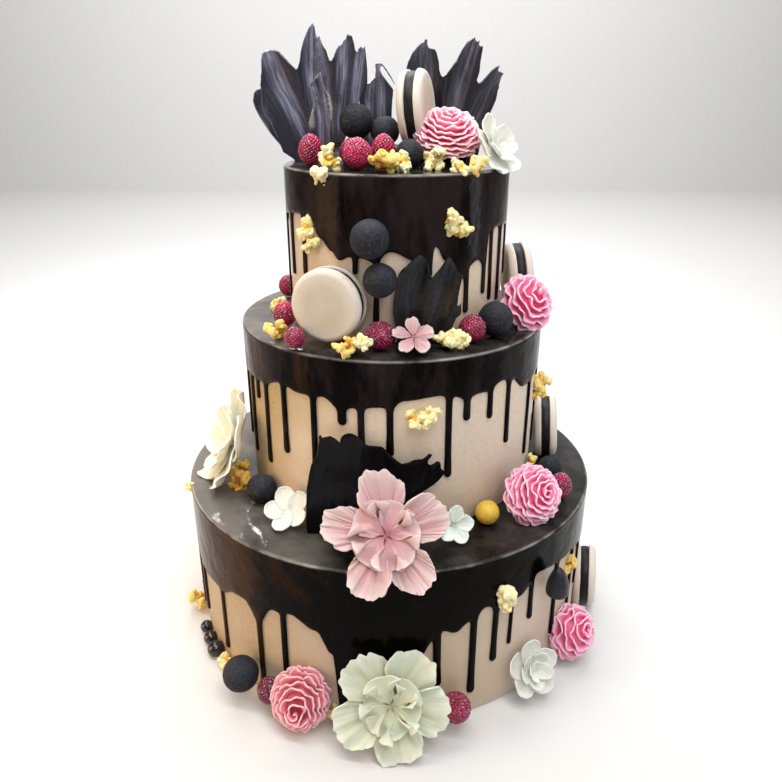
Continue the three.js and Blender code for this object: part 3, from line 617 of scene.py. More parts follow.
# A drop of chocolate stuck to the side, and little balls at the foot as [angle, radius]
dropLook = {"profile": [(0, 0), (6.4, 0), (7.4, 0.7), (7.75, 2.6), (7.6, 6.0), (7.05, 9.5), (6.1, 13.0),
                        (4.7, 16.4), (3.1, 19.0), (1.4, 20.6), (0, 20.95)],
            "centre": (111.4, -115.4, 88.0), "tall": 21.0}
pearls = [(-55.6, 6.2), (-61, 5.2), (-66.2, 4.8), (-88, 4.4)]


def pearlMaterial():
    material, points = newMaterial("pearlShine")
    return setShader(material, Base_Color=mixNode(noiseNode(points, 90, 3), "#0b0c10", "#23252c"),
                     Roughness=0.16, Specular_IOR_Level=0.6)


chocolateDrop = spinProfile("chocolate_drop_body", [(radius, height - dropLook["tall"] / 2)
                                                    for radius, height in dropLook["profile"]], 40)
applyModifier(chocolateDrop, "SUBSURF", levels=2, render_levels=2)
roughen(chocolateDrop, 0.15, 9.0, 4)
placePiece(chocolateDrop, dropLook["centre"])
shadeSmooth(chocolateDrop)
finishPiece(chocolateDrop, "chocolate_drop", "drop", dustAndTopLightMaterial("dropSatin", "#101116", "#2c3038", 0.38, 0.4))

balls = []
for angle, radius in pearls:
    x, y = roundPlace(angle, tiers["bottom"]["radius"] - glazeThick - seam + radius - 1.2)
    balls.append(ballPiece("pearl", radius, (x * mm, y * mm, (radius + 0.1) * mm), 4))
pearlPiece = joinPieces(balls, "foot_pearls")
roughen(pearlPiece, 0.08, 6.0, 2)
shadeSmooth(pearlPiece)
finishPiece(pearlPiece, "tier_bottom", "drop", pearlMaterial())

# Macarons as [x, y, z, radius, thickness, facing, lift]
macaronLook = {"steps": 72, "domeSteps": 12, "filled": 0.33, "shell": "#c2baa8", "rim": "#d8cfc3",
               "filling": "#0d0c0f"}
macarons = {
    "macaron_top": (17.5, -12.0, 375.5, 24, 17.5, 75, 5),
    "macaron_middle_left": (-37.0, -76.5, 265.5, 23, 18, -18, 2),
    "macaron_middle_right": (91.5, 5.0, 263.6, 24, 18, 92, 4),
    "macaron_lower_right": (121.5, 3.0, 145.6, 24, 18, 80, 4),
    "macaron_foot_right": (157.6, -24.0, 24.4, 24, 18, 76, 3), "macaron_back": (61.3, 151.7, 24.4, 24, 20, 158, 4),
}


def shellMaterial():
    material, points = newMaterial("macaronShell")
    cloud, pores, dots = noiseNode(points, 70, 4, 0.6), noiseNode(points, 900, 3, 0.6), noiseNode(points, 380, 2)
    tone = tinted(macaronLook["shell"], "#bdb099", cloud, (0.35, 0.0), (0.7, 1.0))
    tone = tinted(tone, macaronLook["rim"], attributeNode("rim"), (0.5, 0.0), (1.0, 1.0))
    return setShader(material, Base_Color=tinted(tone, "#b3a08c", dots, (0.66, 0.0), (0.72, 0.4)), Roughness=0.62,
                     Normal=bumpNode(cloud, 0.35, 0.0005, Normal=bumpNode(pores, 0.3, 0.00015)),
                     Subsurface_Weight=0.15, Subsurface_Scale=0.003)


def fillingMaterial():
    material, points = newMaterial("macaronFilling")
    streaks = noiseNode(points, 160, 3)
    return setShader(material, Base_Color=mixNode(streaks, macaronLook["filling"], "#1c191a"), Roughness=0.45,
                     Normal=bumpNode(streaks, 0.4, 0.0005), Specular_IOR_Level=0.25)


shellFinish, fillingFinish = shellMaterial(), fillingMaterial()
for name, (x, y, z, radius, thick, facing, lift) in macarons.items():
    half = thick / 2
    base = half * macaronLook["filled"]
    dome = [(0, base), (radius * 0.9, base), (radius * 0.965, base + 0.25)]
    for step in range(macaronLook["domeSteps"] + 1):
        bend = math.radians(90 * step / macaronLook["domeSteps"])
        dome.append((radius * (0.82 + 0.175 * math.cos(bend)),
                     base + 0.5 + (half * 0.94 - base - 0.5) * math.sin(bend)))
    dome += [(radius * 0.66, half * 0.965), (radius * 0.45, half * 0.988), (radius * 0.2, half * 0.998), (0, half)]
    parts = []
    for side in (1, -1):
        shell = spinProfile(name + "_shell", [(out, side * height) for out, height in dome], macaronLook["steps"])
        roughen(shell, 0.2, 13.0, x + side)
        pointValues(shell, "rim", [math.hypot(*vertex.co.xy) / (radius * mm) for vertex in shell.data.vertices])
        shadeSmooth(shell)
        shell.data.materials.append(shellFinish)
        parts.append(shell)
    edge = [(0, -base - 0.2), (radius * 0.93, -base - 0.2), (radius * 0.955, -base * 0.5), (radius * 0.96, 0),
            (radius * 0.955, base * 0.5), (radius * 0.93, base + 0.2), (0, base + 0.2)]
    filling = spinProfile(name + "_filling", edge, macaronLook["steps"])
    roughen(filling, 0.35, 5.0, x)
    shadeSmooth(filling, 50)
    filling.data.materials.append(fillingFinish)
    whole = joinPieces(parts + [filling], name + "_shells")
    placePiece(whole, (x, y, z), facing, lift)
    finishPiece(whole, name, "macaron")
print("macarons done")

# Raspberries as [x, y, z, radius, height, darkness]
berryLook = {"grain": 1.0, "flat": 0.72, "count": 300, "usualSize": 160, "turn": 2.399963,
             "tones": ("#bf0c4c", "#720a38", "#380822"), "crown": ("#c62a62", "#6a1238")}
raspberries = {
    "top_left": (-49.0, -32.0, 352.3, 8.0, 20, 0.35), "top_front": (-19.3, -52.0, 351.8, 9.2, 19, 0.0),
    "top_middle": (-3.5, -36.0, 352.5, 7.8, 20, 0.15), "top_back": (-24.0, -30.0, 351.0, 7.6, 17, 0.8),
    "middle_back": (-77.5, 38.5, 248.0, 7.8, 17, 0.3), "middle_left": (-69.9, -39.8, 248.3, 8.0, 18, 0.05),
    "middle_low": (-58.1, -85.2, 246.6, 6.6, 14, 0.3), "middle_front": (-5.5, -85.8, 248.3, 10.0, 18, 0.6),
    "middle_right": (52.5, -71.2, 248.3, 8.8, 18, 0.5), "lower_right": (119.8, -65.6, 131.3, 8.0, 20, 0.45),
    "foot_left": (-79.8, -139.8, 18.5, 8.4, 20, 1.0), "foot_right": (42.8, -156.5, 20.5, 10.0, 21, 0.4),
    "back": (-18.4, 81.7, 248.3, 8.4, 18, 0.4),
}


def berryMaterial(name, darkness):
    material, points = newMaterial(name)
    light, middle, deep = berryLook["tones"]
    tone = tinted(mixNode(darkness, middle, deep), mixNode(darkness, light, middle), noiseNode(points, 130, 3),
                  (0.35, 0.0), (0.65, 1.0))
    tone = tinted(tone, mixNode(darkness, *berryLook["crown"]), attributeNode("crown"), (0.0, 0.0), (1.0, 0.35))
    sugar = noiseNode(points, 900, 2)                   # sugar crystals and painted glints, most of them on top
    sugarAndGlints = mathNode("MULTIPLY", rampNode(sugar, (0.57, 0.0), (0.66, 0.55)),
                       rampNode(facingUp(), (-0.1, 0.15), (0.8, 1.0)))
    return setShader(material, Base_Color=mixNode(sugarAndGlints, tone, "#f3d3da"),
                     Roughness=rampNode(sugar, (0.4, 0.14), (0.7, 0.32)), Subsurface_Weight=0.25,
                     Subsurface_Scale=0.002, Subsurface_Radius=(1.0, 0.3, 0.3), Specular_IOR_Level=0.4,
                     Coat_Weight=0.35, Coat_Roughness=0.08)


granule = newPiece("granule", bpy.ops.mesh.primitive_ico_sphere_add, subdivisions=2, radius=1.0)
editAll(granule, (bpy.ops.mesh.bisect, {"plane_co": (0, 0, -0.35), "plane_no": (0, 0, 1), "clear_inner": True}))
granulePoints = [vertex.co.copy() for vertex in granule.data.vertices]
granuleFaces = [tuple(polygon.vertices) for polygon in granule.data.polygons]
bpy.data.objects.remove(granule)

for name, (x, y, z, radius, tall, darkness) in raspberries.items():
    name = "raspberry_" + name
    rng = random.Random(name)
    core = newPiece(name + "_core", bpy.ops.mesh.primitive_uv_sphere_add, segments=32, ring_count=20, radius=1.0)
    depth = berryLook["grain"] * 0.75
    wide, high = radius - depth, tall / 2 - depth

    def berrySpot(way):                                 # rounded, narrower towards the top
        taper = 1 - (0.16 if way.z > 0 else 0.05) * way.z ** 2
        return Vector((way.x * taper * wide, way.y * taper * wide, way.z * high))
    for vertex in core.data.vertices:
        vertex.co = berrySpot(vertex.co.normalized()) * mm
    points, faces, crowns = [], [], []
    count = round(berryLook["count"] * (radius * tall) / berryLook["usualSize"])
    for number in range(count):
        height = 1 - 2 * (number + 0.5) / count
        turn = number * berryLook["turn"] + rng.uniform(-0.06, 0.06)
        ring = math.sqrt(1 - height * height)
        way = Vector((ring * math.cos(turn), ring * math.sin(turn), height))
        spot = berrySpot(way)
        outward = Vector((way.x / radius, way.y / radius, way.z / (tall / 2))).normalized()
        size = berryLook["grain"] * rng.uniform(0.82, 1.12)
        side = outward.orthogonal().normalized()
        other = outward.cross(side)
        faces += [[len(points) + vertex for vertex in face] for face in granuleFaces]
        for corner in granulePoints:
            place = spot + (side * corner.x + other * corner.y) * size
            place += outward * corner.z * size * berryLook["flat"]
            points.append(place * mm)
            crowns.append(max(0.0, corner.z))
    grains = meshPiece(name + "_grains", points, faces)
    pointValues(grains, "crown", crowns)
    berry = joinPieces([grains, core], name + "_berry")
    shadeSmooth(berry)
    placePiece(berry, (x, y, z))
    finishPiece(berry, name, "raspberry", berryMaterial(name + "_skin", darkness))
print("raspberries done")

# Ruffled rosettes: one long wavy ribbon wound in a spiral over a dome, dipping where a petal ends, as
# [sugar, centre, radius, height, facing, lift, ribbon spacing, wave length and depth, off-centre shift, seed]
ribbonLook = {"step": 0.7, "rows": 7, "thick": 1.05, "depth": 6.5, "petal": (10.0, 21.0), "dip": 1.9}
ribbonSugars = {"pink": ("#e0306f", "#f386b0", "#f9adca", "#fdd0e0"),
                "coral": ("#df4070", "#f48aa3", "#fab1c2", "#fdd3dd"),
                "rose": ("#ac2a48", "#d56c80", "#e394a1", "#f1c1c7")}
ruffles = {
    "ruffle_top": ("coral", (36.0, -24.0, 356.5), 22.5, 20, 12, 62, 3.5, 13.0, 1.0, (1.5, 4.5), 3),
    "ruffle_middle": ("pink", (90.0, -33.0, 252.0), 21, 20, 44, 32, 4.9, 17.0, 2.3, (2.0, 2.0), 8),
    "ruffle_lower": ("pink", (92.5, -85.0, 135.0), 21.5, 22, 34, 28, 3.6, 15.0, 1.4, (3.5, 0.5), 15),
    "ruffle_foot_left": ("rose", (-56.8, -145.8, 21.5), 21, 22, -14, 22, 3.9, 16.0, 1.5, (1.5, -6.0), 21),
    "ruffle_foot_right": ("pink", (128.2, -88.1, 23.0), 21, 20, 40, 20, 4.6, 17.0, 2.2, (4.5, 1.0), 29),
    "ruffle_back": ("coral", (26.7, 116.4, 138.0), 20, 21, 168, 32, 3.4, 11.5, 1.4, (1.0, 2.0), 33),
}


def ribbonMaterial(name, tones):            # tones from the deep folds to the edge
    material, points = newMaterial(name)
    tone = rampNode(attributeNode("edge"), *zip((0.0, 0.45, 0.85, 1.0), tones))
    return setShader(material, Base_Color=tinted(tone, tones[2], noiseNode(points, 55, 3), (0.4, 0.0), (0.8, 0.5)),
                     Normal=bumpNode(noiseNode(points, 600, 3), 0.25, 0.00015), Roughness=0.55,
                     Subsurface_Weight=0.35, Subsurface_Scale=0.004, Subsurface_Radius=(1.0, 0.5, 0.5))


def ruffleRibbon(name, radius, tall, spacing, wave, swing, shift, seed):
    rng = random.Random(seed)
    look, rows = ribbonLook, ribbonLook["rows"]
    bodyRadius = radius - 0.4
    rise = tall - 1.6
    turns = bodyRadius * 1.62 / spacing
    points, edges = [], []
    angle, travelled, phase = 0.0, 0.0, 0.0
    petalStart, petalEnd, petalLift = 0.0, rng.uniform(*look["petal"]), 0.0
    while angle / (2 * math.pi * turns) < 0.985:
        share = angle / (2 * math.pi * turns)           # 0 at the outer rim, 1 in the middle
        bend = math.radians(102) * (1 - share)
        past = bend - math.pi / 2
        around = bodyRadius * (math.sin(bend) if past < 0 else 1 - 0.35 * past)
        height = rise * math.cos(bend) * 0.84 + rise * 0.16
        offset = Vector((shift[0], shift[1], 0)) * share ** 1.2
        run = Vector((math.cos(angle), math.sin(angle), 0))
        outward = (run * math.sin(bend) + Vector((0, 0, math.cos(bend) * 0.9))).normalized()
        meridian = (run * math.cos(bend) - Vector((0, 0, math.sin(bend)))).normalized()
        phase += look["step"] / wave * 2 * math.pi * (1 + 0.8 * wobble(travelled * 0.05, seed, 0))
        strength = 0.7 + 0.9 * wobble(travelled * 0.08, seed, 7)
        if travelled > petalEnd:                        # the next petal of the ribbon begins
            petalStart, petalEnd = petalEnd, petalEnd + rng.uniform(*look["petal"])
            petalLift = rng.uniform(-0.6, 0.7)
        near = min(travelled - petalStart, petalEnd - travelled)
        crown = petalLift * math.sin(math.pi * (travelled - petalStart) / max(1.0, petalEnd - petalStart))
        crown -= look["dip"] * math.exp(-(near / 1.1) ** 2)
        for row in range(rows):
            along = row / (rows - 1)
            depth = look["depth"] * (1 - along) * min(1.0, 0.35 + around / bodyRadius)
            sway = swing * strength * math.sin(phase) * along ** 1.2
            sway += swing * 1.2 * wobble(travelled * 0.13, seed, 11) * along
            sway += 0.35 * math.sin(phase * 2.3 + seed) * along ** 3
            frill = 0.4 * math.cos(phase * 2 + seed) * along ** 2 + 0.6 * wobble(travelled * 0.35, seed, 3) * along
            frill += crown * along ** 2 - 0.4
            spot = run * around + Vector((0, 0, height)) + offset + outward * (frill - depth) + meridian * sway
            points.append(spot * mm)
            edges.append(along)
        angle += look["step"] / max(around, 1.6)
        travelled += look["step"]
    faces = [(a, a + rows, a + rows + 1, a + 1) for start in range(0, len(points) - rows, rows)
             for a in range(start, start + rows - 1)]
    ribbon = meshPiece(name + "_ribbon", points, faces)
    pointValues(ribbon, "edge", edges)
    applyModifier(ribbon, "SOLIDIFY", thickness=look["thick"] * mm, offset=0.0, use_even_offset=False)
    return ribbon


sugars = {name: ribbonMaterial(name + "Sugar", tones) for name, tones in ribbonSugars.items()}
for name, (sugar, centre, radius, tall, facing, lift, spacing, wave, swing, shift, seed) in ruffles.items():
    ribbon = ruffleRibbon(name, radius, tall, spacing, wave, swing, shift, seed)
    heart = newPiece(name + "_heart", bpy.ops.mesh.primitive_uv_sphere_add, segments=32, ring_count=16, radius=1.0)
    for vertex in heart.data.vertices:
        x, y, z = vertex.co
        vertex.co = Vector((x * (radius - 4.0) + shift[0] * 0.5, y * (radius - 4.0) + shift[1] * 0.5,
                            z * (tall - 6.0 if z > 0 else 2))) * mm
    pointValues(heart, "edge", [0.05] * len(heart.data.vertices))
    rosette = joinPieces([ribbon, heart], name + "_petals")
    shadeSmooth(rosette)
    placePiece(rosette, centre, facing, lift)
    finishPiece(rosette, name, "ruffle", sugars[sugar])
print("ruffles done")

# Sugar flowers. Each petal: direction and half its spread in degrees, reach, lift at the tip, flutter.
petalLook = {"across": 46, "along": 26, "thick": 1.0, "furrow": 0.03, "fine": 0.03}


def petalMaterial(name, deep, middle, light, rim, slitShadow):
    material, points = newMaterial(name)
    tone = rampNode(attributeNode("along"), (0.0, deep), (0.4, middle), (0.86, light), (1.0, rim))
    tone = tinted(tone, middle, noiseNode(points, 80, 3), (0.4, 0.0), (0.8, 0.35))
    # painted shade: the deep colour in the creases of the folds
    tone = mixNode(attributeNode("furrow"), tone, deep)
    # painted shadow: dark slits between the inner petals
    return setShader(material, Base_Color=mixNode(attributeNode("slitShadow"), tone, slitShadow), Roughness=0.5,
                     Normal=bumpNode(noiseNode(points, 500, 3), 0.2, 0.00012), Subsurface_Weight=0.3,
                     Subsurface_Scale=0.003, Subsurface_Radius=(1.0, 0.6, 0.5))


def roundPetal(across, outward, reach, rise, flutter, shift, seed, foot):       # cupped, leaning on its neighbour
    disc = 0.43 * reach
    across, outward = across * math.sqrt(1 - outward ** 2 / 2), outward * math.sqrt(1 - across ** 2 / 2)
    share, cup = (outward + 1) / 2, across ** 2 + outward ** 2
    uneven = 1 + 0.07 * wobble(across * 2 + shift, outward * 2, seed) * cup
    height = foot + rise * share ** 1.5 + disc * (0.3 * cup ** 2 * share + 0.08 * across)
    height += flutter * 1.6 * wobble(across * 2 + shift, seed, outward) * cup
    height += 0.25 * wobble(across * 4 + shift, seed, 2) * share
    x = reach - disc + outward * (disc if outward > 0 else reach - disc) * uneven
    return (x, disc * across * uneven, height), 0.35 + 0.6 * share * cup, 0.0, 0.0


def fanPetal(side, share, spread, reach, rise, flutter, shift, seed, foot, style):
    blunt, power = {"fan": (0.4, 2.7), "broad": (0.34, 3.0), "curled": (0.3, 3.0), "angular": (0.3, 1.5)}[style]
    tip, slitShadow = 1 - blunt * abs(side) ** power, 0.0
    if style != "angular":
        tip += 0.1 * wobble(side * 2.4 + shift, seed, 1) * smoothStep(share * 1.4)
        tip += 0.05 * wobble(side * 7 + shift, seed, 2) * share ** 2
    turn = math.radians(spread) * side * (0.5 + 0.5 * smoothStep(share / 0.5))
    fold = wobble(side * 3.4 + shift, seed * 3, 5) + 0.5 * wobble(side * 8 + shift, seed, 6)
    furrow = petalLook["furrow"] * reach * fold * smoothStep(share * 1.7)
    furrow += petalLook["fine"] * reach * wobble(side * 21 + shift, share * 1.5, 7) * share
    height = foot + rise * share ** 1.6 + 0.06 * reach * side * share + furrow * (0.5 if style == "broad" else 1.0)
    if style == "curled":
        wave = math.sin(side * 5.4 + shift) + 0.35 * math.sin(side * 10.5 + shift * 2)
        frill = smoothStep((share - 0.36) / 0.64)
        height += flutter * wave * frill
        turn += 0.4 * frill * math.cos(side * 5.4 + shift)
        # painted shadow in the slits between the inner petals near the centre
        near = smoothStep((reach * share - 3.0) / 0.8) * smoothStep((9.0 - reach * share) / 1.4)
        slitShadow = near * smoothStep((abs(side) - 0.86) / 0.12) * 0.6
        fold = wave * 0.7 * frill
    else:
        height += flutter * 1.6 * wobble(side * 1.5 + shift, seed, 9) * smoothStep((share - 0.35) / 0.65)
        height += flutter * 0.8 * wobble(side * 4 + shift, seed, 10) * smoothStep((share - 0.7) / 0.3)
    # painted shade in the creases of the folds
    crease = min(0.7, max(0.0, -fold * 1.1)) * smoothStep(share * 2) * (1 - share ** 3)
    place = (reach * share * tip * math.cos(turn), reach * share * tip * math.sin(turn), height)
    return place, share * (0.93 + 0.07 * tip), crease, slitShadow


def petal(name, direction, spread, reach, rise, flutter, seed, style, foot):
    shift = random.Random(seed * 17 + direction).uniform(0, 50)
    sheet = newPiece(name, bpy.ops.mesh.primitive_grid_add, x_subdivisions=petalLook["across"],
                     y_subdivisions=petalLook["along"], size=2)
    shaped = []
    for x, y in [vertex.co.xy for vertex in sheet.data.vertices]:
        if style == "round":
            shaped.append(roundPetal(x, y, reach, rise, flutter, shift, seed, foot))
        else:
            shaped.append(fanPetal(x, (y + 1) / 2, spread, reach, rise, flutter, shift, seed, foot, style))
    places, *layers = zip(*shaped)
    for vertex, place in zip(sheet.data.vertices, places):
        vertex.co = Vector(place) * mm
    for kind, values in zip(("along", "furrow", "slitShadow"), layers):
        pointValues(sheet, kind, values)
    applyModifier(sheet, "SOLIDIFY", thickness=petalLook["thick"] * min(1.0, 0.5 + reach / 70) * mm, offset=0.0)
    sheet.data.transform(Matrix.Rotation(math.radians(direction), 4, "Z"))
    return sheet


def fivePetals(style, start, *shape, foot=0.0):
    return style, foot, [(start + 72 * number, *shape) for number in range(5)]


# [centre, facing, lift, slot, finish, layers of petals]
flowers = {
    "pink_flower": (
        (-2.0, -141.0, 140.5), 0, 33, "blush", "pink",
        ("fan", 0.0, [(97, 35, 39, 5, 1.6), (23, 34, 39, 4, 1.6), (-52, 31, 39, 4, 1.8), (-113, 32, 38.5, 4, 1.8),
                      (169, 31, 38.5, 5, 2.0)]),
        ("curled", 3.0, [(75, 42, 21, 4.5, 3.0), (8, 42, 20.5, 3.5, 3.2), (-62, 44, 21.5, 3.5, 2.8),
                         (-140, 42, 21, 4, 3.4), (146, 44, 22, 5, 3.8)])),
    "white_flower_foot": (
        (1.0, -166.8, 34.0), 0, 22, "ivory", "ivory",
        ("broad", 0.0, [(131, 38, 37.5, 4, 3.0), (60, 39, 37.5, 3.5, 2.8), (-8, 38, 37, 4, 2.8),
                        (-80, 39, 36.8, 3.5, 2.0), (-154, 38, 37.5, 4, 3.0)]),
        ("curled", 3.0, [(112, 42, 20.5, 6, 3.6), (38, 40, 19.5, 5, 3.4), (-34, 42, 19.5, 5, 3.6),
                         (-98, 42, 20.5, 5, 3.8), (-170, 42, 19.5, 5, 3.6)])),
    "white_flower_left": ((-112.5, -35.0, 150.0), -72, 25, "ivory", "pale", fivePetals("round", 30, 46, 38, 6.0, 3.0),
                          fivePetals("round", 66, 42, 25, 8, 2.0, foot=4.0)),
    "white_flower_top": ((65.0, -33.0, 353.0), 50, 28, "ivory", "white", fivePetals("round", 20, 39, 20, 3.4, 1.6),
                         fivePetals("round", 56, 38, 12, 6, 1.2, foot=2.5)),
    "pink_blossom": ((14.5, -92.0, 249.2), 4, 50, "blush", "pink", fivePetals("fan", 18, 32, 13, 1.4, 0.5)),
    "white_blossom_left": ((-66.5, -97.9, 131.6), -20, 48, "ivory", "white",
                           fivePetals("round", 48, 33, 15.3, 2.2, 0.3)),
    "mint_blossom": ((40.5, -117.0, 132.0), 16, 36, "mint", "mint", fivePetals("angular", 0, 37, 12.5, 5.0, 1.4)),
    "white_blossom_foot": ((95.9, -126.3, 24.5), 26, 26, "ivory", "white",
                           fivePetals("round", 10, 36, 19.5, 2.5, 0.6),
                           fivePetals("round", 46, 36, 12.5, 5.5, 0.7, foot=2.5),
                           fivePetals("round", 20, 34, 7, 4.5, 0.5, foot=5.0)),
    "white_blossom_back": ((11.1, 86.8, 250.0), 176, 40, "ivory", "white", fivePetals("round", 30, 33, 14, 2.2, 0.3)),
    "pink_blossom_back": ((11.2, 159.6, 16.0), 176, 26, "blush", "pink", fivePetals("fan", 12, 30, 17, 2.2, 0.6)),
}
petalFinishes = {
    "pink": petalMaterial("petalPink", "#bb6670", "#c89699", "#d0b3b0", "#dfcbc8", "#7c2f38"),
    "ivory": petalMaterial("petalIvory", "#b3af84", "#c9ccb0", "#d0d6c3", "#dee2d2", "#8d8257"),
    "pale": petalMaterial("petalPale", "#c9c7ab", "#dcdbc8", "#e5e6d8", "#eff0e6", "#a39c7c"),
    "white": petalMaterial("petalWhite", "#d3d3c6", "#deded4", "#e8e8e0", "#f0f0ea", "#b5b5a8"),
    "mint": petalMaterial("petalMint", "#c3cfc1", "#d9e1d6", "#e4ebe2", "#eff4ee", "#a3b3a1"),
}
for name, (centre, facing, lift, slot, finish, *layers) in flowers.items():
    sheets = []
    for level, (style, foot, petals) in enumerate(layers):
        for number, shape in enumerate(petals):
            sheets.append(petal(name + "_petal", *shape, level * 7 + number + len(name), style,
                                foot + 0.35 * (number % 2)))
    bloom = joinPieces(sheets, name + "_bloom")
    shadeSmooth(bloom, 70)
    placePiece(bloom, centre, facing, lift)
    finishPiece(bloom, name, slot, petalFinishes[finish])
print("flowers done")

